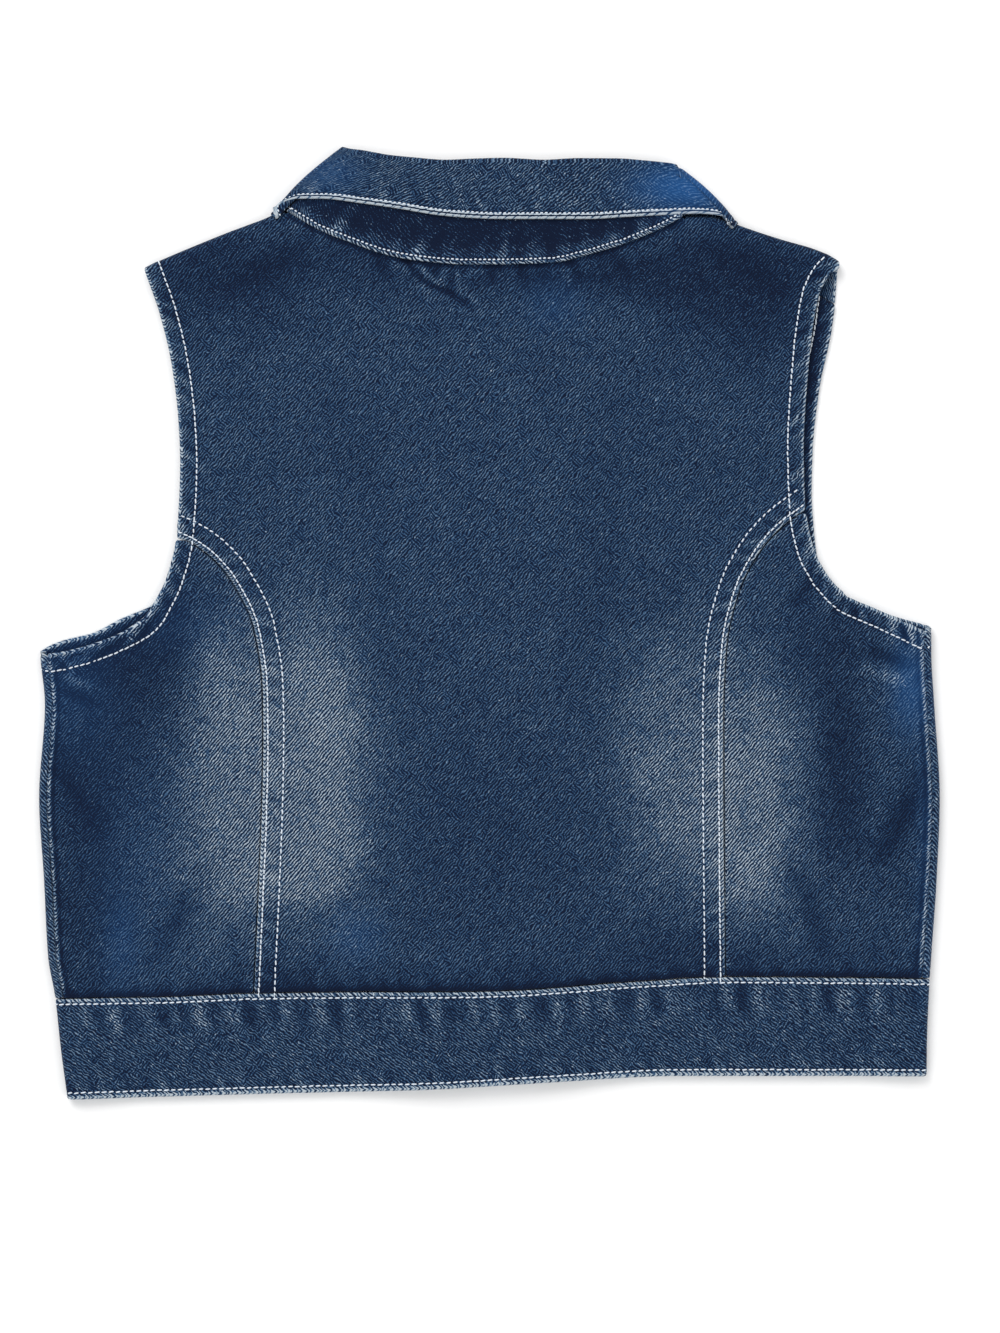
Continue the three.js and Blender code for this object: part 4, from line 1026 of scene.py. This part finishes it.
def front(side):
    """A front, in its flat cut till it is rolled round the side."""
    hole = front_armhole[side]
    (underarm, _), (tip, tip_x) = FRONT_ARMHOLES[side][0], FRONT_ARMHOLES[side][-1]
    unrolled = math.pi * SIDE_ROLL + SEAM_INSET - 2 * (SIDE_ROLL + HALF)
    outer = side_edge(side, hole, HALF, 3.0,
                      lambda y: side_line[side](y) + side * (unrolled - GAP / 2 - HALF))
    wrap = WRAP[side]
    centre_x = -side * (OVERLAP - HALF)
    end = NECK_END[side] + wrap[0] * SHOULDER_WRAP

    def shoulder(x):
        return back_top(x - wrap[0] * SHOULDER_WRAP) + wrap[1] * SHOULDER_WRAP - 2 * GAP - HALF

    def neck(x):
        mirrored = x if side < 0 else -(x - NECK_SHIFT * ease(3, 30, x))
        return neckline(mirrored) - NECK_GAP - HALF

    def top(x):
        x = np.asarray(x, float)
        return np.where(side * (x - end) > -0.5, shoulder(x), np.minimum(neck(x), shoulder(end)))

    top_outer = tip_x - side * HALF
    low = float(foot(side * 150))
    outer_rows = np.concatenate([
        even_rows(side_line[side], low, underarm - 0.4, 52), even_rows(hole, underarm, tip, 78)])
    centre_rows = np.linspace(float(waist_line(0)) + GAP, float(neck(centre_x)), len(outer_rows))
    # columns, in from the armhole and side and in from the centre edge
    fine = (0.0, 0.5, 1.1, 1.7, 2.3, 3.0, 3.7, 4.4, 5.1, 5.8, 6.5, 7.2, 8.0, 8.8, 9.8, 11.0)
    lap = (0.0, 0.6, 1.4, 2.4, 5.0, 8.0, 12.0, 16.0, 20.0, 23.0, 25.5, 28.0, 31.0, 34.0, 38.0, 42.0, 47.0,
           52.0)
    from_x, to_x = abs(top_outer) - fine[-1], lap[-1] - OVERLAP + HALF
    neck_share = (from_x - abs(end)) / (from_x - to_x)
    shares = sorted([*(neck_share * np.array(spread(0, 52, 3.2))), neck_share,
                     *lerp(neck_share, 1, np.array(spread(0, 48, 3.2)))])
    if side > 0:
        shares = sorted(1 - s for s in shares)
    left, right = (outer, lambda y: np.full(np.shape(y), centre_x))[::-side]
    x, y = plan_grid(left, right, lambda v: foot(np.clip(v, -195, 195)), top,
                     (top_outer, centre_x)[::-side], (outer_rows, centre_rows)[::-side],
                     (fine, lap)[::-side], shares)
    edge, edge_at = FRONT_ARMHOLE_PATHS[side].near(x, y)
    hem = ease(HEM_WIDTH + 0.9, HEM_WIDTH - 0.9, edge)
    rope = wobble(edge_at + edge, 8.0, 4.0)
    folds = crease(x, y, FRONT_CREASES)
    above = HALF + HEM_EXTRA * hem - GROOVE * bell(edge - ARMHOLE_ROW, GROOVE_WIDTH) - 0.12
    above = above + 0.1 * rope * hem + folds
    # the cloth past the side's roll is on the back, and is finished like it
    over_side = side * (x - side_line[side](y)) + SIDE_ROLL + HALF
    # the front's visible inside is darkened a little, and more towards its top, as painted shade under the
    # back's shoulders; it has painted shadow just past the back's armhole edge, and is darker along the
    # folds
    fields = finish_fields(
        x, y, edge=edge, row=np.abs(edge - ARMHOLE_ROW), ripple=rope * bell(edge - 4, 4) - folds,
        deep=(0.3 + 0.9 * ease(80, 104, y)) * ease(5.0, 1.5, over_side), blue=zones(x, y, BLUES),
        fade=zones(x, y, FADES) + 0.22 * ease(1.5, 5.0, over_side),
        hollow=bell(ARMHOLE_PATHS[side].near(x, y)[0], 3.4))
    return wall(f"cloth_front_{SIDE_NAMES[side]}", place_front(side, x, y), above, HALF - folds,
                np.dstack([x, y]), fields, shown=-1)


# The waistband

def band_station(kind, value, side, y):
    """A point of the waistband's middle: kind is lower, roll or upper."""
    reach = BAND_ROLL + BAND / 2
    side_x = side_line[side](y) - side * reach

    def lower(x):
        return BAND / 2 + over_buttons(x) + ((BAND + GAP) * lapped(x) if side < 0 else 0)

    if kind == "lower":
        x = lerp(-side * (OVERLAP - BAND / 2), side_x, value)
        return x, lower(x)
    if kind == "roll":
        x = side_x + side * BAND_ROLL * math.sin(value)
        over, under = band_upper_height(side_x, y), lower(side_x)
        return x, lerp(under, over, (1 - math.cos(value)) / 2)
    x = lerp(side_line[-1](y) + reach, side_line[1](y) - reach, value)
    return x, band_upper_height(x, y)


def waistband():
    lower = np.linspace(0, 1, 76)
    turns = np.linspace(0, math.pi, 14)[1:-1]
    stations = [("lower", v, 1) for v in lower] + [("roll", a, 1) for a in turns]
    stations += [("upper", v, 1) for v in np.linspace(1, 0, 190)]
    stations += [("roll", a, -1) for a in turns[::-1]] + [("lower", v, -1) for v in lower[::-1]]
    rim, height = BAND / 2, BAND_HEIGHT
    ups = np.array([0, 0.5, 1.0, 1.4, 1.9, 2.6, 3.4, 4.6, 6.0, 8.0, 10.5])
    ups = np.concatenate([ups, np.linspace(13, height - 2 * rim - 13, 11), height - 2 * rim - ups[::-1]])
    shares = ups / ups[-1]
    middle = np.empty((len(shares), len(stations), 3))
    middle_y = -187.0
    for column, (kind, value, side) in enumerate(stations):
        guess = band_station(kind, value, side, middle_y)[0]
        low, high = float(hem_line(guess)) + rim, float(waist_line(guess)) - rim
        y = lerp(low, high, shares)
        x, z = band_station(kind, value, side, y)
        middle[:, column] = np.column_stack([x, y, z])
    along = np.repeat(lengths_along(middle[10])[None, :], len(shares), 0)
    from_hem = along * 0 + ups[:, None] + rim
    from_top = height - from_hem
    top_rope = wobble(along + 0.12 * from_top, 13.0, 6.0)
    hem_rope = wobble(along - 0.5 * from_hem, 9.0, 8.0)
    change = 0.24 * top_rope * bell(from_top - 8.0, 6.0) + 0.17 * hem_rope * bell(from_hem - 5.5, 4.5)
    change += 0.3 * rolling(along, ups[:, None] * 2.0, 2.0) * bell(from_top - 22, 16)
    for gap in (from_top - BAND_TOP_ROW, from_hem - BAND_HEM_ROW):
        change -= GROOVE * bell(gap, GROOVE_WIDTH)
    ripple = top_rope * bell(from_top - 9, 6.5) + 0.6 * hem_rope * bell(from_hem - 5, 4.5)
    # the band's outer face is against the grid's normal
    is_upper = np.array([kind == "upper" for kind, _, _ in stations])
    below = rim + np.where(is_upper, change, 0.0)
    above = np.full(along.shape, rim)
    x, y = middle[..., 0], middle[..., 1]
    fields = finish_fields(
        x, y, edge=np.minimum(from_hem, from_top + 0.6), ripple=ripple,
        row=np.minimum(np.abs(from_top - BAND_TOP_ROW), np.abs(from_hem - BAND_HEM_ROW)),
        fade=along * 0, deep=along * 0, blue=zones(x, y, BLUES))
    band = wall("cloth_waistband", middle, above, below, np.dstack([-along, y]), fields, shown=-1)
    levels = (BAND_HEM_ROW, height - BAND_TOP_ROW)
    ROWS["waistband"] = [(np.interp(level - rim, ups, np.arange(len(ups))), -1) for level in levels]
    return band


# The collar

def collar_stations():
    """Rows of neck, fold and leaf x and y, bow, turn and inset, evenly spaced round the neck."""
    angles = np.linspace(0, math.pi, 9)
    rows = [(*s, 0, math.pi, 0) for s in COLLAR_FRONT_LEFT]
    rows += [(*LEFT_TURN, a, 1) for a in angles[::-1]]
    rows += [(*s, 0, 0, 0) for s in COLLAR_BACK]
    rows += [(*RIGHT_TURN, a, 1) for a in angles]
    rows += [(*s, 0, math.pi, 0) for s in COLLAR_FRONT_RIGHT]
    rows = np.array(rows, float)
    first_turn = len(COLLAR_FRONT_LEFT)
    last_turn = first_turn + len(angles) + len(COLLAR_BACK)
    fold = rows[:, 2:4]
    gaps = np.linalg.norm(np.diff((rows[:, :2] + fold + rows[:, 4:6]) / 3, axis=0), axis=1)
    for turn in (first_turn, last_turn):
        gaps[turn:turn + len(angles) - 1] = COLLAR_TURN * math.pi / (len(angles) - 1)
    at = np.concatenate([[0], np.cumsum(gaps)])
    fine = np.concatenate([
        np.linspace(a, b, max(2, round((b - a) / 2.0)) + 1)[:-1] if b - a > 1.2 else [a]
        for a, b in zip(at[:-1], at[1:], strict=True)] + [[at[-1]]])
    table = np.column_stack([at, rows])
    return np.column_stack([Line(table, k + 1)(fine) for k in range(9)])


def collar():
    s = collar_stations()
    neck, fold, leaf = (np.column_stack([s[:, k:k + 2], np.zeros(len(s))]) for k in (0, 2, 4))
    bow, turned, inset = s[:, 6], s[:, 7], s[:, 8]
    side = np.sign(s[:, 4])
    middle_z = lerp(BACK_MIDDLE, FRONT_MIDDLE, (1 - np.cos(turned)) / 2)
    half = LEAF_PITCH / 2

    def frame_of(start):
        along = unit(fold - start)
        outward = np.column_stack([side * along[:, 1], -side * along[:, 0], np.zeros(len(s))])
        across = outward * np.sin(turned)[:, None]
        across[:, 2] += np.cos(turned)
        return along, outward, across

    free, sewn = frame_of(leaf), frame_of(neck)
    outer_inset = inset * (COLLAR_TURN + half + COLLAR / 2)
    inner_inset = inset * (COLLAR_TURN - half + COLLAR / 2)

    def placed(point, way, pull, offset):
        swing = inset * COLLAR_TURN * np.sin(turned)
        made = point + way[1] * (swing - pull)[:, None] + way[2] * offset
        made[:, 2] = middle_z + offset * np.cos(turned)
        return made

    rim = COLLAR / 2
    fold_centre = fold - sewn[0] * (half + rim)
    free_centre = fold - free[0] * (half + rim)
    neck_in, leaf_in = neck + sewn[0] * rim, leaf + free[0] * rim
    ends = np.array((0, 0.6, 1.2, 1.7, 2.2, 2.8, 3.6, 4.8, 6.2, 8.0))
    # the rows' shares of the stand and of the fall, which are finest at their sewn and free edges
    stand_ends, fall_ends = ends / 30, 1 - ends[::-1] / 26
    neck_shares = (*stand_ends, *np.linspace(stand_ends[-1], 1, 13)[1:])
    leaf_shares = (*np.linspace(0, fall_ends[0], 11)[:-1], *fall_ends)
    rows, from_neck, from_leaf = [], [], []
    stand_length = np.linalg.norm(fold_centre - neck_in, axis=1)
    fall_length = np.linalg.norm(free_centre - leaf_in, axis=1)
    for share in neck_shares:
        pull = lerp(inner_inset, outer_inset, share)
        rows.append(placed(lerp(neck_in, fold_centre, share), sewn, pull, -half))
        from_neck.append(share * stand_length + rim)
        from_leaf.append(FAR + 0 * stand_length)
    for angle in np.linspace(0, math.pi, 9)[1:-1]:
        share = (1 - math.cos(angle)) / 2
        offset = -half * math.cos(angle)
        inner = placed(fold_centre, sewn, outer_inset, offset)
        outer = placed(free_centre, free, outer_inset, offset)
        outward = half * math.sin(angle)
        rows.append(lerp(inner, outer, share) + sewn[0] * outward * (1 - share) + free[0] * outward * share)
        from_neck.append(stand_length + half * angle)
        from_leaf.append(fall_length + half * (math.pi - angle))
    for share in leaf_shares:
        bulge = bow * math.sin(math.pi * share)
        rows.append(placed(lerp(free_centre, leaf_in, share), free, outer_inset - bulge, half))
        from_neck.append(FAR + 0 * stand_length)
        from_leaf.append((1 - share) * fall_length + rim)
    middle = np.array(rows)
    from_neck, from_leaf = np.array(from_neck), np.array(from_leaf)
    # on the back the stand's edge laps over the back's neckline
    at_back = ease(0.5, 0.0, turned)
    lap = neck + sewn[0] * (rim - STAND_LAP)
    rest = back_height(lap[:, 0], lap[:, 1]) + HALF + rim + 0.1
    share = ease(9.0, rim, from_neck) * at_back[None, :]
    middle -= (ease(16.0, rim, from_neck) * at_back)[..., None] * sewn[0][None] * STAND_LAP
    middle[..., 2] += share * (rest - middle[0, :, 2])[None, :]
    along = np.repeat(lengths_along(middle[len(ends)])[None, :], len(rows), 0)
    on_floor = ease(2.2, 1.6, turned)[None, :]
    neck_rope = wobble(along - 0.1 * from_neck, 12.0, 9.0)
    leaf_rope = wobble(along + 0.8 * from_leaf, 9.0, 3.5)
    change = 0.3 * neck_rope * bell(from_neck - 7, 6) + 0.14 * leaf_rope * bell(from_leaf - 5, 4)
    change -= GROOVE * (
        bell(from_neck - STAND_ROW, GROOVE_WIDTH) + bell(from_leaf - FALL_ROW, GROOVE_WIDTH))
    change += 0.22 * bell(from_leaf - 1.0, 0.9)
    change += 0.3 * rolling(along, from_leaf * 2, 4.0) * ease(6, 14, from_leaf) * ease(60, 40, from_leaf)
    # a light line at the stand's sewn edge, painted shade along the stand's stitch groove, and a painted
    # black shadow line in the crevice between the fall's rope and the under-collar's edge
    ripple = (
        bell(from_neck - 1.0, 0.6) - 2.0 * bell(from_neck - 2.1, 0.5)
        + 1.5 * neck_rope * bell(from_neck - 7, 6) - 9 * bell(from_leaf - 1.35, 0.25)
        + 0.7 * leaf_rope * bell(from_leaf - 4.5, 4))
    x, y = middle[..., 0], middle[..., 1]
    # the stand's rows stand out along the grid's normal and the fall's against it, or the other way
    normal_up = np.cross(np.gradient(middle, axis=1), np.gradient(middle, axis=0))[..., 2]
    facing = 1 if np.median(normal_up[:6, len(s) // 2]) > 0 else -1
    is_fall = from_leaf < FAR
    on_fall, on_stand = is_fall * on_floor, ~is_fall * on_floor
    above, below = (rim + change * part for part in (on_stand, on_fall)[::facing])
    rope = bell(from_leaf - 2.0, 0.38) + bell(from_leaf - 0.6, 0.35)
    in_turn = ease(0.1, 0.7, turned) * ease(2.6, 1.9, turned)
    leaf_edge = np.where(from_leaf < 3, 2.0 - 1.5 * rope, FAR) + 2.2 * in_turn[None, :]
    # the neck seam is rubbed less on its right half, and the stand is darkened most away from the seam and
    # on its right, as painted shadow of the fall over it
    neck_edge = from_neck + 0.9 + 0.5 * ease(0, 40, x) + 2 * in_turn
    fall_shadow_on_stand = (4.2 + 0.6 * ease(10, 50, x)) * ease(2, 9, from_neck)
    fields = finish_fields(
        x, y, edge=np.minimum(leaf_edge, neck_edge), ripple=ripple, fade=along * 0,
        row=np.minimum(np.abs(from_neck - STAND_ROW), np.abs(from_leaf - FALL_ROW)),
        deep=np.where(is_fall, zones(x, y, DARK_AND_SHADED_ZONES), fall_shadow_on_stand) * on_floor,
        blue=zones(x, y, BLUES) * on_floor)
    flat_y = np.where(is_fall, -from_leaf, from_neck - stand_length - fall_length - half * math.pi)
    made = wall("cloth_collar", middle, above, below, np.dstack([along, flat_y]), fields, shown=0)
    neck_row = np.interp((STAND_ROW - rim) / stand_length, neck_shares, np.arange(len(neck_shares)))
    leaf_row = len(rows) - len(leaf_shares) + np.interp(
        1 - (FALL_ROW - rim) / fall_length, leaf_shares, np.arange(len(leaf_shares)))
    ROWS["collar"] = [(row, face) for face in (1, -1) for row in (neck_row, leaf_row)]
    return made


# Stitches

def stitch_form():
    """One stitch, modelled once: a round length of thread, dipping at its ends."""
    bpy.ops.object.select_all(action="DESELECT")
    bpy.ops.mesh.primitive_cylinder_add(vertices=7, radius=0.5, depth=1.0, rotation=(0, math.pi / 2, 0))
    made = bpy.context.object
    bpy.ops.object.mode_set(mode="EDIT")
    bpy.ops.mesh.select_all(action="SELECT")
    bpy.ops.mesh.bevel(offset=0.2, segments=1, affect="EDGES", clamp_overlap=True)
    bpy.ops.object.mode_set(mode="OBJECT")
    bpy.ops.object.transform_apply(location=True, rotation=True, scale=True)
    points = np.array([v.co[:] for v in made.data.vertices])
    faces = [tuple(p.vertices) for p in made.data.polygons]
    bpy.data.objects.remove(made, do_unlink=True)
    return points, faces


def sew(name, rows, material, slot, settings, seed, reach=1.0):
    """Rows of stitches: each row is (points, normals), the places that its thread runs through.

    reach is the stitches' length as a share of the usual."""
    form, faces = stitch_form()
    x, y, z = (form[:, k:k + 1] for k in range(3))
    dip = -0.34 * np.abs(x * 2) ** 3  # the thread's ends go down into the cloth
    random = np.random.default_rng(seed)
    length, width = settings.stitch_length / MM * reach, settings.thread_width / MM
    points, polygons = [], []
    for centres, normals in rows:
        way = unit(np.gradient(centres, axis=0))
        across = unit(np.cross(normals, way))
        turn = random.normal(0.10, 0.05, len(centres))[:, None]
        stretch = random.normal(1.0, 0.06, len(centres))
        centres = centres + across * random.normal(0, 0.06, len(centres))[:, None]
        ways = unit(way + across * turn)
        across = unit(np.cross(normals, ways))
        for centre, along, side, up, scale in zip(centres, ways, across, normals, stretch, strict=True):
            made = centre + along * (x * length * scale) + side * y * width + up * (z * width * 0.85 + dip)
            start = len(points) * len(form)
            polygons.extend(tuple(start + i for i in face) for face in faces)
            points.append(made)
    mesh = bpy.data.meshes.new(name)
    mesh.from_pydata(((np.concatenate(points) + SHIFT) * MM).tolist(), [], polygons)
    mesh.polygons.foreach_set("use_smooth", np.ones(len(mesh.polygons), bool))
    return dress(piece_of(mesh), material, slot)


def on_back(plan):
    """Places and normals on the back's upper face for points in plan."""
    def height(x, y):
        seam_x = np.where(x < 0, seam[-1](y), seam[1](y))
        centre = (np.abs(x) < np.abs(seam_x)) | (y > np.where(x < 0, TIP[-1], TIP[1]))
        detail = np.where(centre, *(back_details(x, y, panel)["height"] for panel in (True, False)))
        return back_height(x, y) + HALF + detail

    x, y = plan[:, 0], plan[:, 1]
    z = height(x, y)
    slope_x = (height(x + 0.6, y) - height(x - 0.6, y)) / 1.2
    slope_y = (height(x, y + 0.6) - height(x, y - 0.6)) / 1.2
    normal = unit(np.column_stack([-slope_x, -slope_y, np.ones(len(x))]))
    return np.column_stack([x, y, z]) + normal * STITCH_LIFT, normal


def spaced_out(points, normals, pitch):
    """Places and normals pitch apart along a line on a face."""
    lengths = lengths_along(points)
    at = np.arange(pitch / 2, lengths[-1], pitch)
    columns = [np.interp(at, lengths, values[:, k]) for values in (points, normals) for k in range(3)]
    return np.column_stack(columns[:3]), unit(np.column_stack(columns[3:]))


def raised(points, normals):
    """Stitches stand on the cloth, but sink in where the cloth lies on the floor."""
    on_floor = (points[:, 2] < 0.9) & (normals[:, 2] < -0.5)
    return points + normals * np.where(on_floor, -0.30, STITCH_LIFT)[:, None], normals


def on_grid(name, row, side, pitch):
    """Places and normals of a row of stitches that runs along a cloth's grid."""
    face, normal = FACES[name][side]
    columns = np.arange(face.shape[1])
    row = np.broadcast_to(row, columns.shape)
    low = np.clip(row.astype(int), 0, face.shape[0] - 2)
    share = (row - low)[:, None]
    points = lerp(face[low, columns], face[low + 1, columns], share)
    normals = unit(lerp(normal[low, columns], normal[low + 1, columns], share))
    return raised(*spaced_out(points, normals, pitch))


def on_front(side, plan, face, depth):
    """Places and normals on a front for points of its flat cut; face is 1 inside and -1 outside."""
    def middle(dx, dy):
        return place_front(side, plan[:, 0] + dx, plan[:, 1] + dy)[0]

    normal = unit(np.cross(middle(0.5, 0) - middle(-0.5, 0), middle(0, 0.5) - middle(0, -0.5)))
    return raised(middle(0, 0) + normal * (face * depth), normal * face)


# Controls

def length_property(name, description, usual, least, most):
    """A length in the settings, from millimetres."""
    return bpy.props.FloatProperty(
        name=name, description=description, default=usual * MM, min=least * MM, max=most * MM,
        unit="LENGTH", precision=5)


class VestSettings(bpy.types.PropertyGroup):
    """Sizes and colours of the vest's cloth and sewing."""

    twill_pitch: length_property("Twill Pitch", "Distance between two twill lines", 1.22, 0.5, 5)
    stitch_pitch: length_property("Stitch Pitch", "Distance from one stitch to the next", 2.95, 1, 8)
    stitch_length: length_property("Stitch Length", "Length of thread that shows of a stitch", 2.25, 0.5, 6)
    thread_width: length_property("Thread Width", "Thickness of the sewing thread", 0.75, 0.2, 2)
    thread_color: bpy.props.FloatVectorProperty(
        name="Thread Colour", description="Colour of the sewing thread",
        subtype="COLOR", size=3, default=(0.78, 0.85, 0.93), min=0, max=1)


class VEST_OT_back(bpy.types.Operator):
    """Make the centre back panel and the two side back panels"""

    bl_idname = "vest.back"
    bl_label = "Back Panels"

    def execute(self, context):
        finish = finish_of("washed_denim", context.scene.denim_vest)
        centre = dress(back_centre(), finish, "denim_body", "back_centre")
        for side, name in SIDE_NAMES.items():
            panel = dress(back_side(side), finish, "denim_body", f"back_side_{name}")
        return {"FINISHED"}


class VEST_OT_fronts(bpy.types.Operator):
    """Make the two fronts, rolled round the sides"""

    bl_idname = "vest.fronts"
    bl_label = "Fronts"

    def execute(self, context):
        finish = finish_of("washed_denim", context.scene.denim_vest)
        for side, name in SIDE_NAMES.items():
            panel = dress(front(side), finish, "denim_body", f"front_{name}")
        return {"FINISHED"}


class VEST_OT_waistband(bpy.types.Operator):
    """Make the waistband"""

    bl_idname = "vest.waistband"
    bl_label = "Waistband"

    def execute(self, context):
        finish = finish_of("waistband_denim", context.scene.denim_vest)
        band = dress(waistband(), finish, "denim_waistband", "waistband")
        return {"FINISHED"}


class VEST_OT_collar(bpy.types.Operator):
    """Make the collar, folded over its stand"""

    bl_idname = "vest.collar"
    bl_label = "Collar"

    def execute(self, context):
        finish = finish_of("collar_denim", context.scene.denim_vest)
        piece = dress(collar(), finish, "denim_collar", "collar")
        return {"FINISHED"}


class VEST_OT_stitches(bpy.types.Operator):
    """Sew the rows of stitches"""

    bl_idname = "vest.stitches"
    bl_label = "Stitches"

    def execute(self, context):
        settings = context.scene.denim_vest
        finish = finish_of("cotton_thread", settings)
        pitch = settings.stitch_pitch / MM
        for side, name in SIDE_NAMES.items():
            row = ARMHOLE_PATHS[side].aside(side * -ARMHOLE_ROW, 3.0)
            plan = row.spaced(pitch * 0.9)
            plan = plan[(plan[:, 1] < back_top(plan[:, 0]) - 1.0) & (from_sides(*plan.T) > SEAM_INSET)]
            rows = [on_back(plan)]
            sew(f"stitches_armhole_{name}", rows, finish, "denim_body", settings, 11 + side)
            rows = [on_back(SEAM_PATHS[side].aside(-side * away, 2.0).spaced(pitch * reach))
                    for away, reach in zip(LAP_ROWS, (0.82, 1.0), strict=True)]
            rows = [(centres[kept], normals[kept]) for centres, normals in rows
                    for kept in [from_armholes(*centres[:, :2].T) > 1.3]]
            sew(f"stitches_seam_{name}", rows, finish, "denim_body", settings, 21 + side)
            edge = FRONT_ARMHOLE_PATHS[side].aside(side * -ARMHOLE_ROW, 1.5).spaced(pitch * 0.9)
            edge = edge[edge[:, 1] < 150]
            centre = -side * OVERLAP + side * PLACKET_ROW
            plan = np.column_stack([np.full(90, centre), np.linspace(-162, 108, 90)])
            rows = [on_front(side, edge, 1, HALF + HEM_EXTRA - 0.15), on_front(side, edge, -1, HALF),
                    on_front(side, plan, -1, HALF)]
            sew(f"stitches_front_{name}", rows, finish, "denim_body", settings, 31 + side)
        for name, spacing, reach, seed in (("waistband", 1.05, 1.05, 41), ("collar", 0.7, 0.58, 51)):
            rows = [on_grid(f"cloth_{name}", row, side, pitch * spacing) for row, side in ROWS[name]]
            if name == "collar":
                # the turns at its ends are too tight for stitches to show
                rows = [(places[lying], ups[lying]) for places, ups in rows
                        for lying in [np.abs(ups[:, 2]) > 0.6]]
            sew(f"stitches_{name}", rows, finish, f"denim_{name}", settings, seed, reach)
        return {"FINISHED"}


class VEST_OT_buttons(bpy.types.Operator):
    """Finish the plain buttons under the overlap"""

    bl_idname = "vest.buttons"
    bl_label = "Buttons"

    def execute(self, context):
        finish = finish_of("dull_metal", context.scene.denim_vest)
        for number in range(1, BUTTON_COUNT + 1):
            node = f"button_{number}"
            low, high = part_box(node)
            centre = ((low[0] + high[0]) / 2, (low[1] + high[1]) / 2)
            bpy.ops.object.select_all(action="DESELECT")
            bpy.ops.mesh.primitive_cylinder_add(
                vertices=40, radius=BUTTON_RADIUS * MM, depth=BUTTON_HEIGHT * MM,
                location=(*centre, (low[2] + high[2]) / 2))
            piece = context.object
            piece.name = f"metal_button_{number}"
            bpy.ops.object.transform_apply(location=True, rotation=True, scale=True)
            bpy.ops.object.mode_set(mode="EDIT")
            bpy.ops.mesh.select_mode(type="FACE")
            bpy.ops.mesh.select_all(action="DESELECT")
            bpy.ops.object.mode_set(mode="OBJECT")
            for face in piece.data.polygons:
                face.select = abs(face.normal.z) > 0.9 and face.center.z < low[2] + 0.5 * MM
            bpy.ops.object.mode_set(mode="EDIT")
            # a raised rim, a dished middle and a low boss
            for thickness, depth in ((1.1, 0), (0.5, -0.45), (3.2, 0), (0.6, 0.3)):
                bpy.ops.mesh.inset(thickness=thickness * MM, depth=depth * MM)
            bpy.ops.object.mode_set(mode="OBJECT")
            bevel = piece.modifiers.new("edges", "BEVEL")
            bevel.width, bevel.segments, bevel.limit_method = 0.25 * MM, 2, "ANGLE"
            bpy.ops.object.modifier_apply(modifier=bevel.name)
            bpy.ops.object.shade_smooth_by_angle(angle=math.radians(35))
            dress(piece, finish, "button_metal", node)
        return {"FINISHED"}


class VEST_OT_stage(bpy.types.Operator):
    """Set the floor, the light and the camera"""

    bl_idname = "vest.stage"
    bl_label = "Stage"

    def execute(self, context):
        scene = context.scene
        bpy.ops.object.select_all(action="DESELECT")
        bpy.ops.mesh.primitive_plane_add(size=8.0, location=(0, 0, -0.0002))
        floor = context.object
        floor.name = "floor"
        g = Graph("pale_floor")
        floor.data.materials.append(g.surface(Base_Color=(0.96, 0.96, 0.96, 1), Roughness=0.9,
                                              Specular_IOR_Level=0.1))
        world = scene.world or bpy.data.worlds.new("studio")
        scene.world = world
        world.use_nodes = True
        world.node_tree.nodes["Background"].inputs["Color"].default_value = (1, 1, 1, 1)
        world.node_tree.nodes["Background"].inputs["Strength"].default_value = 0.79
        # name, place, size, power: a soft key from beyond the collar and a weak fill
        for name, place, size, power in (("key_light", (-0.8, 1.25, 1.5), 1.3, 23.5),
                                         ("fill_light", (1.1, -0.9, 1.6), 1.6, 6.0)):
            bpy.ops.object.light_add(type="AREA", location=place)
            light = context.object
            light.name = name
            light.data.size, light.data.energy = size, power
            light.rotation_euler = (-Vector(place)).to_track_quat("-Z", "Y").to_euler()
        pixel = 0.45 * MM
        width, height = 1000, 1333
        middle = (490, 624)
        camera_data = bpy.data.cameras.new("camera")
        camera_data.sensor_fit = "VERTICAL"
        camera_data.sensor_height, camera_data.lens = 36.0, 90.0
        distance = camera_data.lens / camera_data.sensor_height * height * pixel
        camera = bpy.data.objects.new("camera", camera_data)
        scene.collection.objects.link(camera)
        camera.location = (SHIFT[0] * MM + (width / 2 - middle[0]) * pixel,
                           SHIFT[1] * MM - (height / 2 - middle[1]) * pixel, distance)
        camera_data.clip_end = 30
        scene.camera = camera
        scene.view_settings.view_transform = "Standard"
        return {"FINISHED"}


class VEST_PT_panel(bpy.types.Panel):
    """Lists the vest's pieces"""

    bl_label = "Denim Vest"
    bl_idname = "VEST_PT_panel"
    bl_space_type = "VIEW_3D"
    bl_region_type = "UI"
    bl_category = "Denim Vest"

    def draw(self, context):
        layout = self.layout
        for name in VestSettings.__annotations__:
            layout.prop(context.scene.denim_vest, name)
        for operator in OPERATORS:
            layout.operator(operator.bl_idname)


OPERATORS = (VEST_OT_stage, VEST_OT_back, VEST_OT_fronts, VEST_OT_waistband, VEST_OT_collar,
             VEST_OT_stitches, VEST_OT_buttons)
CLASSES = (VestSettings, *OPERATORS, VEST_PT_panel)


def register():
    for cls in CLASSES:
        bpy.utils.register_class(cls)
    bpy.types.Scene.denim_vest = bpy.props.PointerProperty(type=VestSettings)


def unregister():
    del bpy.types.Scene.denim_vest
    for cls in reversed(CLASSES):
        bpy.utils.unregister_class(cls)


def main():
    register()
    for operator in OPERATORS:
        group, name = operator.bl_idname.split(".")
        getattr(getattr(bpy.ops, group), name)()


if __name__ == "__main__":
    main()
